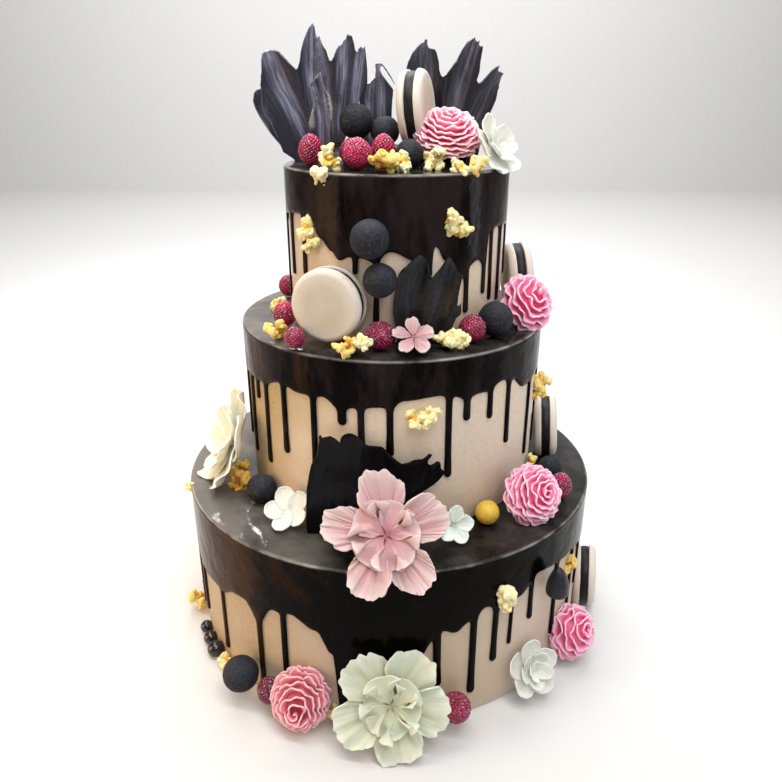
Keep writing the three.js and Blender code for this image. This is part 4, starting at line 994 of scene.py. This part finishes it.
# Chocolate shards: thin upright sheets with the hollows of brush strokes in them, as [y, finish, painted
# highlight on ridges, outline and strokes], with an outline of x and z in turn, and a stroke of [half width, depth,
# its line]
shardLook = {"spacing": 1.35, "rowRatio": 0.87, "thick": 1.3, "groove": 0.2, "ridgeHighlightTone": "#c6c0c2"}
shards = {
    "shard_top_left": (2.0, "brushed", 0.0, [
        -60.5, 341.5, -71, 348.5, -78.5, 370, -83.5, 389.5, -82, 397.5, -82, 404.5, -81.5, 408, -80, 409.5, -76.5,
        410.5, -73.5, 410.5, -71, 409.5, -68.5, 407, -65, 403.5, -61.5, 400.5, -60, 399, -58.5, 400, -57, 403.5,
        -56, 409.5, -54.5, 415, -52.5, 420, -50.5, 423.5, -48.5, 426, -47.5, 424, -47, 420, -46, 417.5, -45, 418,
        -44.5, 418.5, -44, 417, -43, 414, -41.5, 411.5, -40.5, 410, -39.5, 406.5, -38.5, 404.5, -37, 404, -35,
        406.5, -33.5, 410.5, -32, 413, -30, 414, -29, 416, -27.5, 417, -26.5, 419.5, -25.5, 419, -24, 418.5, -23.5,
        416.5, -22.5, 413.5, -21.5, 410, -20, 409, -19.5, 411, -18, 412.5, -17, 411.5, -16, 411.5, -15.5, 412.5,
        -15.5, 410.5, -15, 406, -14.5, 399, -14.5, 391, -16.5, 385.5, -19.5, 381, -27, 362.5, -37, 341.5], [
        (9.5, 4.6, [-49, 341, -55, 358, -63, 376, -71, 392, -77, 408]),
        (8.0, 3.2, [-44, 341, -46, 362, -49, 385, -49.5, 402, -48.6, 426]),
        (4.5, 1.8, [-38, 341, -38, 362, -40, 385, -42, 402, -45, 418]),
        (6.0, 2.6, [-34, 341, -33, 362, -31.5, 380, -30, 396, -29, 416]),
        (5.5, 2.2, [-28, 341, -24, 362, -21.5, 385, -19, 402, -17, 412])]),
    "shard_top_side": (9.0, "brushed", 0.0, [
        -64, 341.5, -71.5, 349.5, -80, 360, -86, 369.5, -89, 376, -90, 380, -89, 385, -87.5, 387, -85.5, 387.5,
        -83.5, 389, -84, 391, -84.5, 392.5, -83.5, 393, -82.5, 391.5, -81, 391, -79.5, 390.5, -67, 374.5, -58,
        355.5, -55.5, 341.5], [
        (9.0, 3.8, [-57, 341, -67, 352, -76, 364, -82, 376, -83, 392]),
        (6.0, 1.4, [-52, 341, -60, 354, -68, 366, -74, 378, -76, 388])]),
    "shard_top_front": (-7.0, "brushed", 0.6, [
        -48, 341.5, -51.5, 363, -52, 367.5, -49.5, 374, -48, 378.5, -48, 382, -50, 387, -52, 390, -49.5, 391.5, -47,
        393.5, -45, 396, -43.5, 397.5, -42.5, 393, -41, 387.5, -38, 383, -36.5, 376, -38, 363, -36, 341.5], [
        (2.6, 1.6, [-38, 341, -39, 360, -40.5, 376, -43.7, 397]),
        (4.6, 2.6, [-44, 341, -44.5, 360, -45, 376, -49, 390])]),
    "shard_top_middle": (8.0, "brushed", 0.0, [
        -15, 341.5, -20, 362, -19.5, 381, -20, 385.5, -17, 388.5, -15, 390.5, -13, 391, -11, 393, -9, 394.5, -8.5,
        399, -9, 402.5, -7, 403, -6, 403, -4.5, 402.5, -2, 399.5, 1.5, 394.5, 4, 390, 3, 391, 0.5, 395, -2.5, 399,
        -4.5, 401.5, -5.5, 401, -6, 399, -5, 396.5, -2, 392.5, 1.5, 388.5, 2.5, 387, 2, 379.5, 1.5, 368.5, 1.5,
        341.5], [
        (5.0, 1.2, [-4, 341, -4.5, 360, -5, 378, -6, 402]),
        (5.0, 1.2, [-12, 341, -12.5, 360, -13, 378, -12, 392])]),
    "shard_top_right": (17.0, "dark", 0.0, [
        25.5, 341.5, 16.5, 361.5, 11.5, 374.5, 10, 387, 11.5, 399, 13, 404, 16, 410, 18.5, 413, 21, 415.5, 23, 416,
        23.5, 417.5, 25, 417.5, 25, 414.5, 26, 412.5, 28, 412, 30, 411.5, 31, 409.5, 32.5, 404, 33, 399, 34, 396,
        35.5, 395, 38, 396.5, 41, 400.5, 45, 405, 48.5, 411.5, 51.5, 416, 54, 417.5, 56, 419, 57, 417, 58, 416,
        59.5, 417, 59, 414.5, 60.5, 413, 61.5, 413.5, 61, 410, 60, 404, 59.5, 398, 58, 393, 59.5, 391, 62, 392,
        64.5, 394.5, 68.5, 399, 71, 401, 73.5, 402, 72.5, 400.5, 72.5, 398.5, 74.5, 398, 76.5, 397, 75, 395, 73.5,
        390.5, 73.5, 388, 73, 387.5, 71.5, 380.5, 69, 374.5, 66, 368, 60.5, 341.5], [
        (11.0, 3.6, [36, 341, 29, 358, 24.5, 378, 23.5, 394, 23, 416]),
        (8.5, 3.2, [43, 341, 43.5, 358, 46, 378, 50, 395, 57, 418]),
        (8.0, 3.2, [49, 341, 54, 356, 60, 371, 67, 386, 76, 399])]),
    "shard_middle": (-77.6, "black", 0.0, [
        5, 239.5, 4.5, 252.5, 2.5, 260, 3, 268.5, 4, 280, 6, 284.5, 8.5, 287.5, 12, 290, 14.5, 293, 17.5, 295, 19.5,
        295.5, 21.5, 293.5, 23, 290.5, 24, 285.5, 26, 282, 27, 282.5, 29.5, 285.5, 32, 288.5, 34, 292, 36, 294,
        37.5, 293, 39.5, 289, 41.5, 285.5, 44, 283.5, 43.5, 279, 42.5, 274, 42, 270, 41.5, 264.5, 43, 265, 44, 267,
        44, 263.5, 44, 259.5, 41, 256.5, 39.5, 252.5, 38, 239.5], [
        (8.5, 3.2, [16, 239, 13, 252, 12.5, 266, 15, 280, 19, 296]),
        (8.5, 3.2, [24, 239, 26, 252, 29.5, 266, 33, 280, 37, 294])]),
    "shard_lower": (-109.6, "smooth", 0.0, [
        -53, 121.5, -53.5, 130.5, -53, 142.5, -52, 155, -50, 165.5, -48.5, 171.5, -45, 177.5, -44, 183.5, -43, 188,
        -43, 191.5, -42, 192, -41, 190, -38.5, 190.5, -36, 191, -33, 189, -30.5, 186.5, -29.5, 190, -27.5, 192, -25,
        193, -22.5, 192.5, -20, 191, -18, 189, -15.5, 185.5, -13, 184.5, -8, 184, -4.5, 183.5, -2, 181, 1, 177.5,
        4.5, 174, 8, 171.5, 12, 172.5, 15.5, 174.5, 20.5, 175, 23, 177, 24.5, 179, 26.5, 178.5, 25.5, 176.5, 24,
        174.5, 24, 172, 25.5, 171, 27.5, 172, 29, 173.5, 31, 174, 32, 172, 32, 169.5, 33, 168, 34.5, 167, 34, 165,
        32, 162, 28.5, 158, 23.5, 154, 17, 149, 12, 142.5, 7, 130.5, 4, 121.5], [
        (52, 1.0, [-22, 121, -16, 145, -10, 168, -8, 188])]),
}


shardTones = {                              # dark, usual, pale and warm, roughness, gloss, lustre dust and painted highlight
    "brushed": ("#1b1b28", "#2c2c3d", "#424257", "#2f2430", 0.28, 0.45, "#b0b0c8"),
    "dark": ("#13121a", "#1d1c26", "#2d2c38", "#1c1922", 0.3, 0.4, "#7f7d8d"),
    "black": ("#060608", "#0a090b", "#151317", "#0d090a", 0.2, 0.4, "#34323a"),
    "smooth": ("#050507", "#08080b", "#0e0f13", "#0c0708", 0.22, 0.16, "#101014"),
}


def shardMaterial(name, dark, usual, pale, warm, rough, gloss, lustreAndHighlightTone):
    material, points = newMaterial(name)
    brush = attributeNode("brush", "Vector")
    hairlines = noiseNode(scaled(brush, (3.6, 0.24, 1)), 2.2, 5, 0.62)
    stretches = noiseNode(scaled(brush, (0.7, 0.16, 1)), 2.2, 5, 0.62)
    patches, grain = noiseNode(points, 42, 4, 0.6), noiseNode(points, 620, 3, 0.6)
    tone = rampNode(hairlines, (0.2, dark), (0.5, usual), (0.85, pale))
    tone = tinted(tone, warm, patches, (0.48, 0.0), (0.75, 0.7))
    tone = tinted(tone, pale, grain, (0.5, 0.0), (0.75, 0.15))
    lustreAndHighlight = rampNode(alongAxis(brush, "Z"), (0.25, 0.0), (0.8, 1.0))    # lustre dust and painted highlight, down the middle of a stroke, in streaks
    for value in (rampNode(hairlines, (0.3, 0.15), (0.68, 1.0)), rampNode(stretches, (0.4, 0.1), (0.6, 1.0)),
                  attributeNode("lustreAndSheen")):
        lustreAndHighlight = mathNode("MULTIPLY", lustreAndHighlight, value)
    tone = mixNode(attributeNode("seam"), mixNode(lustreAndHighlight, tone, lustreAndHighlightTone), dark)
    # painted highlight: a pale tone on ridges and torn edges
    tone = mixNode(attributeNode("ridgeHighlight"), tone, shardLook["ridgeHighlightTone"])
    return setShader(material, Base_Color=tone, Specular_IOR_Level=gloss,
                     Normal=bumpNode(grain, 0.2, 0.00015, Normal=bumpNode(hairlines, 0.5, 0.001)),
                     Roughness=rampNode(patches, (0.3, rough), (0.8, rough + 0.14)))


def pairs(numbers):
    return list(zip(numbers[::2], numbers[1::2]))


def curvePoint(spots, share):               # smooth curve through the points, share 0..1
    place = min(0.99999, max(0.0, share)) * (len(spots) - 1)
    index = int(place)
    part = place - index
    before = spots[index - 1] if index > 0 else spots[0] * 2 - spots[1]
    after = spots[index + 2] if index + 2 < len(spots) else spots[-1] * 2 - spots[-2]
    a, b = spots[index], spots[index + 1]
    return 0.5 * ((2 * a) + (b - before) * part + (2 * before - 5 * a + 4 * b - after) * part ** 2
                  + (3 * a - before - 3 * b + after) * part ** 3)


def insideOutline(spot, outline):
    inside = False
    for first, second in zip(outline, outline[1:] + outline[:1]):
        if (first[1] > spot[1]) != (second[1] > spot[1]):
            crossing = (second[0] - first[0]) * (spot[1] - first[1]) / (second[1] - first[1]) + first[0]
            inside = inside != (spot[0] < crossing)
    return inside


def nearStroke(spot, number, half, deep, curve):        # how near, how far across and along, and the hollow there
    nearest = min(range(len(curve)), key=lambda place: (curve[place] - spot).length_squared)
    ahead = curve[min(nearest + 1, len(curve) - 1)] - curve[max(nearest - 1, 0)]
    offset = spot - curve[nearest]
    across = offset.dot(Vector((ahead.y, -ahead.x)).normalized()) / half
    return offset.length / half, across + number * 7, nearest / (len(curve) - 1), deep, number


def brushedSheet(name, y, ridgeHighlight, outline, strokes, seed):
    rng = random.Random(seed)
    gap, outline, rim, inner, row = shardLook["spacing"], pairs(outline), [], [], 0
    for first, second in zip(outline, outline[1:] + outline[:1]):
        steps = max(1, round(math.dist(first, second) / gap))
        rim += [Vector(first).lerp(Vector(second), step / steps) for step in range(steps)]
    rimSpots = [tuple(spot) for spot in rim]
    (left, right), (low, high) = [(min(values), max(values)) for values in zip(*rimSpots)]
    level = low
    while level < high:
        for column in range(int((right - left) / gap) + 1):
            spot = Vector((left + (column + 0.5 * (row % 2)) * gap + rng.uniform(-0.1, 0.1), level))
            if insideOutline(spot, rimSpots) and min((edge - spot).length_squared for edge in rim) > 0.3 * gap * gap:
                inner.append(spot)
        row += 1
        level = low + row * gap * shardLook["rowRatio"]
    spots, _, faces, *_ = geometry.delaunay_2d_cdt(rim + inner, [], [list(range(len(rim)))], 1, 1e-6)
    curves = []
    for half, deep, line in strokes:
        bends = [Vector(spot) for spot in pairs(line)]
        curves.append((half, deep, [curvePoint(bends, step / 60) for step in range(61)]))
    points, brushes, ridgeHighlights, seams, lustreAndSheens = [], [], [], [], []
    for spot in spots:
        closeness, sideways, share, deep, number = min(
            (nearStroke(spot, number, *stroke) for number, stroke in enumerate(curves)), key=lambda near: near[0])
        hollow = deep * max(0.0, 1 - min(1.0, closeness) ** 2)
        groove = shardLook["groove"] * min(1.0, deep) * (wobble(sideways * 7, share * 2.5, seed)
                                                         + wobble(sideways * 15, share * 3, seed + 3))
        bend = 0.8 * wobble(spot.x * 0.03, spot.y * 0.03, seed)
        edgeAway = math.sqrt(min((edge - spot).length_squared for edge in rim))
        rolled = 0.7 * math.exp(-(edgeAway / 1.4) ** 2) * smoothStep((share - 0.2) / 0.2)
        points.append(Vector((spot.x, y + hollow + groove + bend - rolled - 0.2, spot.y)) * mm)
        brushes += [sideways, share * 6, max(0.0, 1 - abs(sideways - number * 7 + 0.1))]
        ragged = wobble(spot.x * 0.3, spot.y * 0.12, seed)
        # painted highlight along ridges and torn edges
        onRidge = smoothStep((closeness - 0.84) / 0.12) * smoothStep((share - 0.3) / 0.2)
        torn = 0.3 * smoothStep((0.7 + ragged - edgeAway) / 0.5)
        ridgeHighlights.append(ridgeHighlight * max(torn, onRidge) * smoothStep((share - 0.35) / 0.1))
        seams.append(0.75 * smoothStep((closeness - 0.72) / 0.25) * min(1.0, deep / 2))
        lustreAndSheens.append(smoothStep(share / 0.45))
    sheet = meshPiece(name, points, faces)
    sheet.data.attributes.new("brush", "FLOAT_VECTOR", "POINT").data.foreach_set("vector", brushes)
    for kind, values in (("ridgeHighlight", ridgeHighlights), ("seam", seams), ("lustreAndSheen", lustreAndSheens)):
        pointValues(sheet, kind, values)
    applyModifier(sheet, "SOLIDIFY", thickness=shardLook["thick"] * mm, offset=0.0, use_even_offset=False)
    outwardNormals(sheet, 0.000001)
    shadeSmooth(sheet, 50)
    return sheet


shardFinishes = {finish: shardMaterial(finish + "Chocolate", *tones) for finish, tones in shardTones.items()}
for number, (name, (y, finish, ridgeHighlight, outline, strokes)) in enumerate(shards.items()):
    finishPiece(brushedSheet(name + "_sheet", y, ridgeHighlight, outline, strokes, number * 3 + 1), name, "shard",
                shardFinishes[finish])
print("shards done")

# Popcorn: a few blown kernels, copied to every place as [angle, radius, height, size, toasted] on a ledge
kernelLook = {"kinds": 7, "across": 10, "fuller": 1.1, "voxel": 0.315, "puff": 1.5, "crease": 0.3}
ledges = {"board": (0.0, 0.0), "lower": (2.0, 121.0), "middle": (5.0, 239.0), "top": (5.0, 342.0)}
popcorn = [
    ("top", -36, 69, 6, 19, 0.1), ("top", -38, 74.5, -3, 17, 0.0), ("top", -8, 64, 6, 20, 0.4),
    ("top", 3, 58.5, 5.6, 16, 0.0), ("top", 23, 56, 5, 15, 0.0), ("top", 26, 58, 9, 12, 0.0),
    ("top", 31, 72, 3, 14, 0.1), ("top", 39, 74, 1, 20, 0.25), ("middle", 24.5, 77, 76, 17, 0.1),
    ("middle", 29.5, 77.5, 69, 19, 0.2), ("middle", -48, 77, 69, 18, 0.1), ("middle", -44, 77.5, 60, 14, 0.2),
    ("middle", -91, 86, 5.2, 15, 0.2), ("middle", -48, 103, 6, 19, 0.35), ("middle", -16.8, 102, 6.5, 19, 0.35),
    ("middle", -12, 100, 9, 13, 0.0), ("middle", 19, 92, 6, 18, 0.05), ("middle", 24, 92, 6, 16, 0.15),
    ("middle", 150, 88, 6, 18, 0.1), ("lower", 77.5, 108, 72, 19, 0.3), ("lower", 77.5, 108, 64, 15, 0.45),
    ("lower", 67.4, 109.5, 17, 12, 0.3), ("lower", -20, 122, 4.2, 12, 0.2), ("lower", -69, 117, 7.5, 21, 0.6),
    ("lower", -64.5, 121, 6.5, 20, 0.65), ("lower", 205, 118, 6, 17, 0.1), ("board", 28.4, 153, 92, 19, 0.0),
    ("board", 29.6, 152.5, 83, 17, 0.1), ("board", 57.2, 152.5, 77, 17, 0.4), ("board", -72, 153, 120, 9, 0.2),
    ("lower", 7.5, 107.5, 81, 17, 0.15), ("lower", 12.5, 107.5, 81, 18, 0.1), ("board", -49.6, 154, 7.2, 13.5, 0.15),
    ("board", -77.5, 155.2, 10.4, 22, 0.35), ("board", -13, 154.8, 8, 15, 0.2), ("board", 140, 155, 8.5, 17, 0.2),
]


def popcornMaterial():
    material, points = newMaterial("popcornCrumb")
    tone = rampNode(attributeNode("hull"), (0.0, "#f3edc8"), (0.3, "#efe0a0"), (0.55, "#e8c558"), (0.85, "#d6a136"),
                    (1.0, "#a9701f"))
    tone = tinted(tone, "#e9cf73", noiseNode(points, 120, 4, 0.6), (0.52, 0.0), (0.8, 0.5))
    return setShader(material, Base_Color=tone, Normal=bumpNode(noiseNode(points, 420, 4, 0.7), 0.4, 0.00025),
                     Roughness=0.5, Subsurface_Weight=0.25, Subsurface_Scale=0.003)


def blownKernel(seed):                      # a hull with puffed lobes round it
    rng = random.Random(seed)
    lobes = []
    for number in range(rng.choice((4, 5, 5, 6))):
        height = rng.uniform(-0.8, 0.9)
        turn = number * 2.4 + rng.uniform(-0.5, 0.5)
        ring = math.sqrt(1 - height * height)
        way = Vector((ring * math.cos(turn), ring * math.sin(turn), height))
        lobe = newPiece("lobe", bpy.ops.mesh.primitive_ico_sphere_add, subdivisions=3,
                        radius=rng.uniform(1.7, 2.7) * mm, location=way * rng.uniform(2.2, 3.0) * mm)
        lobe.scale = (1, rng.uniform(0.6, 1.0), rng.uniform(0.6, 1.0))
        lobe.rotation_euler = [rng.uniform(0, 3) for _ in range(3)]
        applyPlace(lobe)
        lobes.append(lobe)
    lobes.append(ballPiece("hull", 1.9, (0, 0, 0), 3))
    whole = joinPieces(lobes, "kernel")
    applyModifier(whole, "REMESH", mode="VOXEL", voxel_size=kernelLook["voxel"] * mm)
    applyModifier(whole, "SMOOTH", factor=0.5, iterations=1)
    normals = [vertex.normal.copy() for vertex in whole.data.vertices]
    for vertex, normal in zip(whole.data.vertices, normals):
        x, y, z = vertex.co * 1000
        puff = kernelLook["puff"] * (abs(wobble(x * 0.36 + seed * 3.1, y * 0.36, z * 0.36)) * 2 - 0.5)
        crease = kernelLook["crease"] * (abs(wobble(x * 0.95, y * 0.95 + seed * 2.3, z * 0.95)) * 2 - 0.5)
        vertex.co += normal * (puff + crease) * mm
    far = max(vertex.co.length for vertex in whole.data.vertices)
    for vertex in whole.data.vertices:
        vertex.co *= kernelLook["across"] / 2 * mm / far
    return whole


kernels = [blownKernel(seed + 2) for seed in range(kernelLook["kinds"])]
crumbs = []
for number, (ledge, angle, out, height, size, toasted) in enumerate(popcorn):
    rng = random.Random(number * 5 + 1)
    crumb = kernels[number % len(kernels)].copy()
    crumb.data = crumb.data.copy()
    bpy.context.scene.collection.objects.link(crumb)
    axisX, ledgeHeight = ledges[ledge]
    turn = Matrix.Rotation(rng.uniform(0, 6.28), 4, "Z") @ Matrix.Rotation(rng.uniform(0, 6.28), 4, "X")
    pointValues(crumb, "hull", [toasted + 0.1 + 0.6 * smoothStep((2.6 - vertex.co.length / mm) / 1.5)
                                for vertex in crumb.data.vertices])
    place = Vector((*roundPlace(angle, out, axisX), ledgeHeight + height))
    fuller = size * kernelLook["fuller"] / kernelLook["across"]
    crumb.data.transform(Matrix.Translation(place * mm) @ turn @ Matrix.Scale(fuller, 4))
    crumbs.append(crumb)
for kernel in kernels:
    bpy.data.objects.remove(kernel)
popcornPiece = joinPieces(crumbs, "popcorn_pieces")
keepInside(popcornPiece)
shadeSmooth(popcornPiece)
popcornPiece.data.materials.append(popcornMaterial())
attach(popcornPiece, "root")
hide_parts("glaze_top", "glaze_middle", "glaze_bottom", "tier_middle", "tier_bottom")
print("popcorn done", len(popcornPiece.data.polygons))

# Lights as [place, target, size, power, colour, spread]
studio = {"floor": ("#dadad9", "#d5d4d2"), "sweep": (3.2, 1.9), "world": 0.26, "lights": {
    "keyLight": ((0.25, -0.8, 1.1), (0, 0, 0.15), (0.7, 0.7), 6.5, (1.0, 0.98, 0.96), 180),
    "topLight": ((-0.1, 0.35, 1.15), (0, 0, 0.2), (0.9, 0.9), 9, (1.0, 1.0, 1.0), 180),
    "stripLight": ((-0.1, -0.35, 1.25), (0, 0, 0.25), (1.3, 0.09), 8.5, (1.0, 1.0, 1.0), 180),
    "glintLight": ((-0.31, 1.0, 0.88), (-0.08, -0.1, 0.12), (0.3, 0.1), 3.2, (1.0, 1.0, 1.0), 180),
    "sweepLight": ((0.0, 1.0, 2.0), (0, 2.4, 0.5), (2.0, 1.2), 52, (1.0, 1.0, 1.0), 180),
    "warmLight": ((-0.8, -0.25, 0.2), (0, 0, 0.04), (0.4, 0.4), 0.55, (1.0, 0.55, 0.16), 64),
    "sideLight": ((-0.7, -0.4, 0.5), (0, 0, 0.38), (0.1, 0.3), 0.6, (0.95, 0.96, 1.0), 180),
    "coolLight": ((0.78, -0.12, 0.3), (0, 0, 0.18), (0.12, 0.45), 1.0, (0.8, 0.9, 1.0), 180),
}}


def floorMaterial():
    material, points = newMaterial("studioFloor")
    return setShader(material, Base_Color=mixNode(noiseNode(points, 40, 3), *studio["floor"]), Roughness=0.8)


def studioFloor():
    floor = newPiece("floor", bpy.ops.mesh.primitive_plane_add, size=6.0, location=(0, -0.4, -0.0005))
    applyPlace(floor)
    rise, roundness = studio["sweep"]
    for step, settings in ((bpy.ops.mesh.extrude_edges_move, {"TRANSFORM_OT_translate": {"value": (0, 0, rise)}}),
                           (bpy.ops.mesh.bevel, {"offset": roundness, "segments": 24})):
        bpy.ops.object.mode_set(mode="EDIT")            # the far edge sweeps up, so that there is no horizon
        sweep = bmesh.from_edit_mesh(floor.data)
        for edge in sweep.edges:
            edge.select_set(all(vertex.co.y > 2.5 and vertex.co.z < 0.1 for vertex in edge.verts))
        bmesh.update_edit_mesh(floor.data)
        step(**settings)
        bpy.ops.object.mode_set(mode="OBJECT")
    shadeSmooth(floor)
    floor.data.materials.append(floorMaterial())


def studioLight():
    world = bpy.data.worlds.new("studio")
    world.use_nodes = True
    world.node_tree.nodes["Background"].inputs["Color"].default_value = (1.0, 1.0, 1.0, 1.0)
    world.node_tree.nodes["Background"].inputs["Strength"].default_value = studio["world"]
    bpy.context.scene.world = world
    bpy.context.scene.view_settings.view_transform = "Standard"
    for name, (place, target, size, power, colour, spread) in studio["lights"].items():
        light = newPiece(name, bpy.ops.object.light_add, type="AREA", location=place)
        light.data.shape = "RECTANGLE"
        light.data.size, light.data.size_y = size
        light.data.energy, light.data.color, light.data.spread = power, colour, math.radians(spread)
        light.rotation_euler = (Vector(target) - Vector(place)).to_track_quat("-Z", "Y").to_euler()


view = {"back": 507.0, "up": 387.2, "pitch": 22.65, "yaw": 0.15, "roll": 0.04, "lens": 33.266}


def photoCamera():
    camera = bpy.data.objects.new("camera", bpy.data.cameras.new("camera"))
    bpy.context.scene.collection.objects.link(camera)
    camera.data.sensor_width = 36.0
    camera.data.sensor_fit = "HORIZONTAL"
    camera.data.lens = view["lens"]
    camera.data.clip_start = 0.01
    turn = (Matrix.Rotation(math.radians(-view["yaw"]), 4, "Z")
            @ Matrix.Rotation(math.radians(90 - view["pitch"]), 4, "X")
            @ Matrix.Rotation(math.radians(view["roll"]), 4, "Z"))
    camera.matrix_world = Matrix.Translation((0, -view["back"] * mm, view["up"] * mm)) @ turn
    bpy.context.scene.camera = camera


studioFloor()
studioLight()
photoCamera()
bpy.context.view_layer.update()
print("scene done")
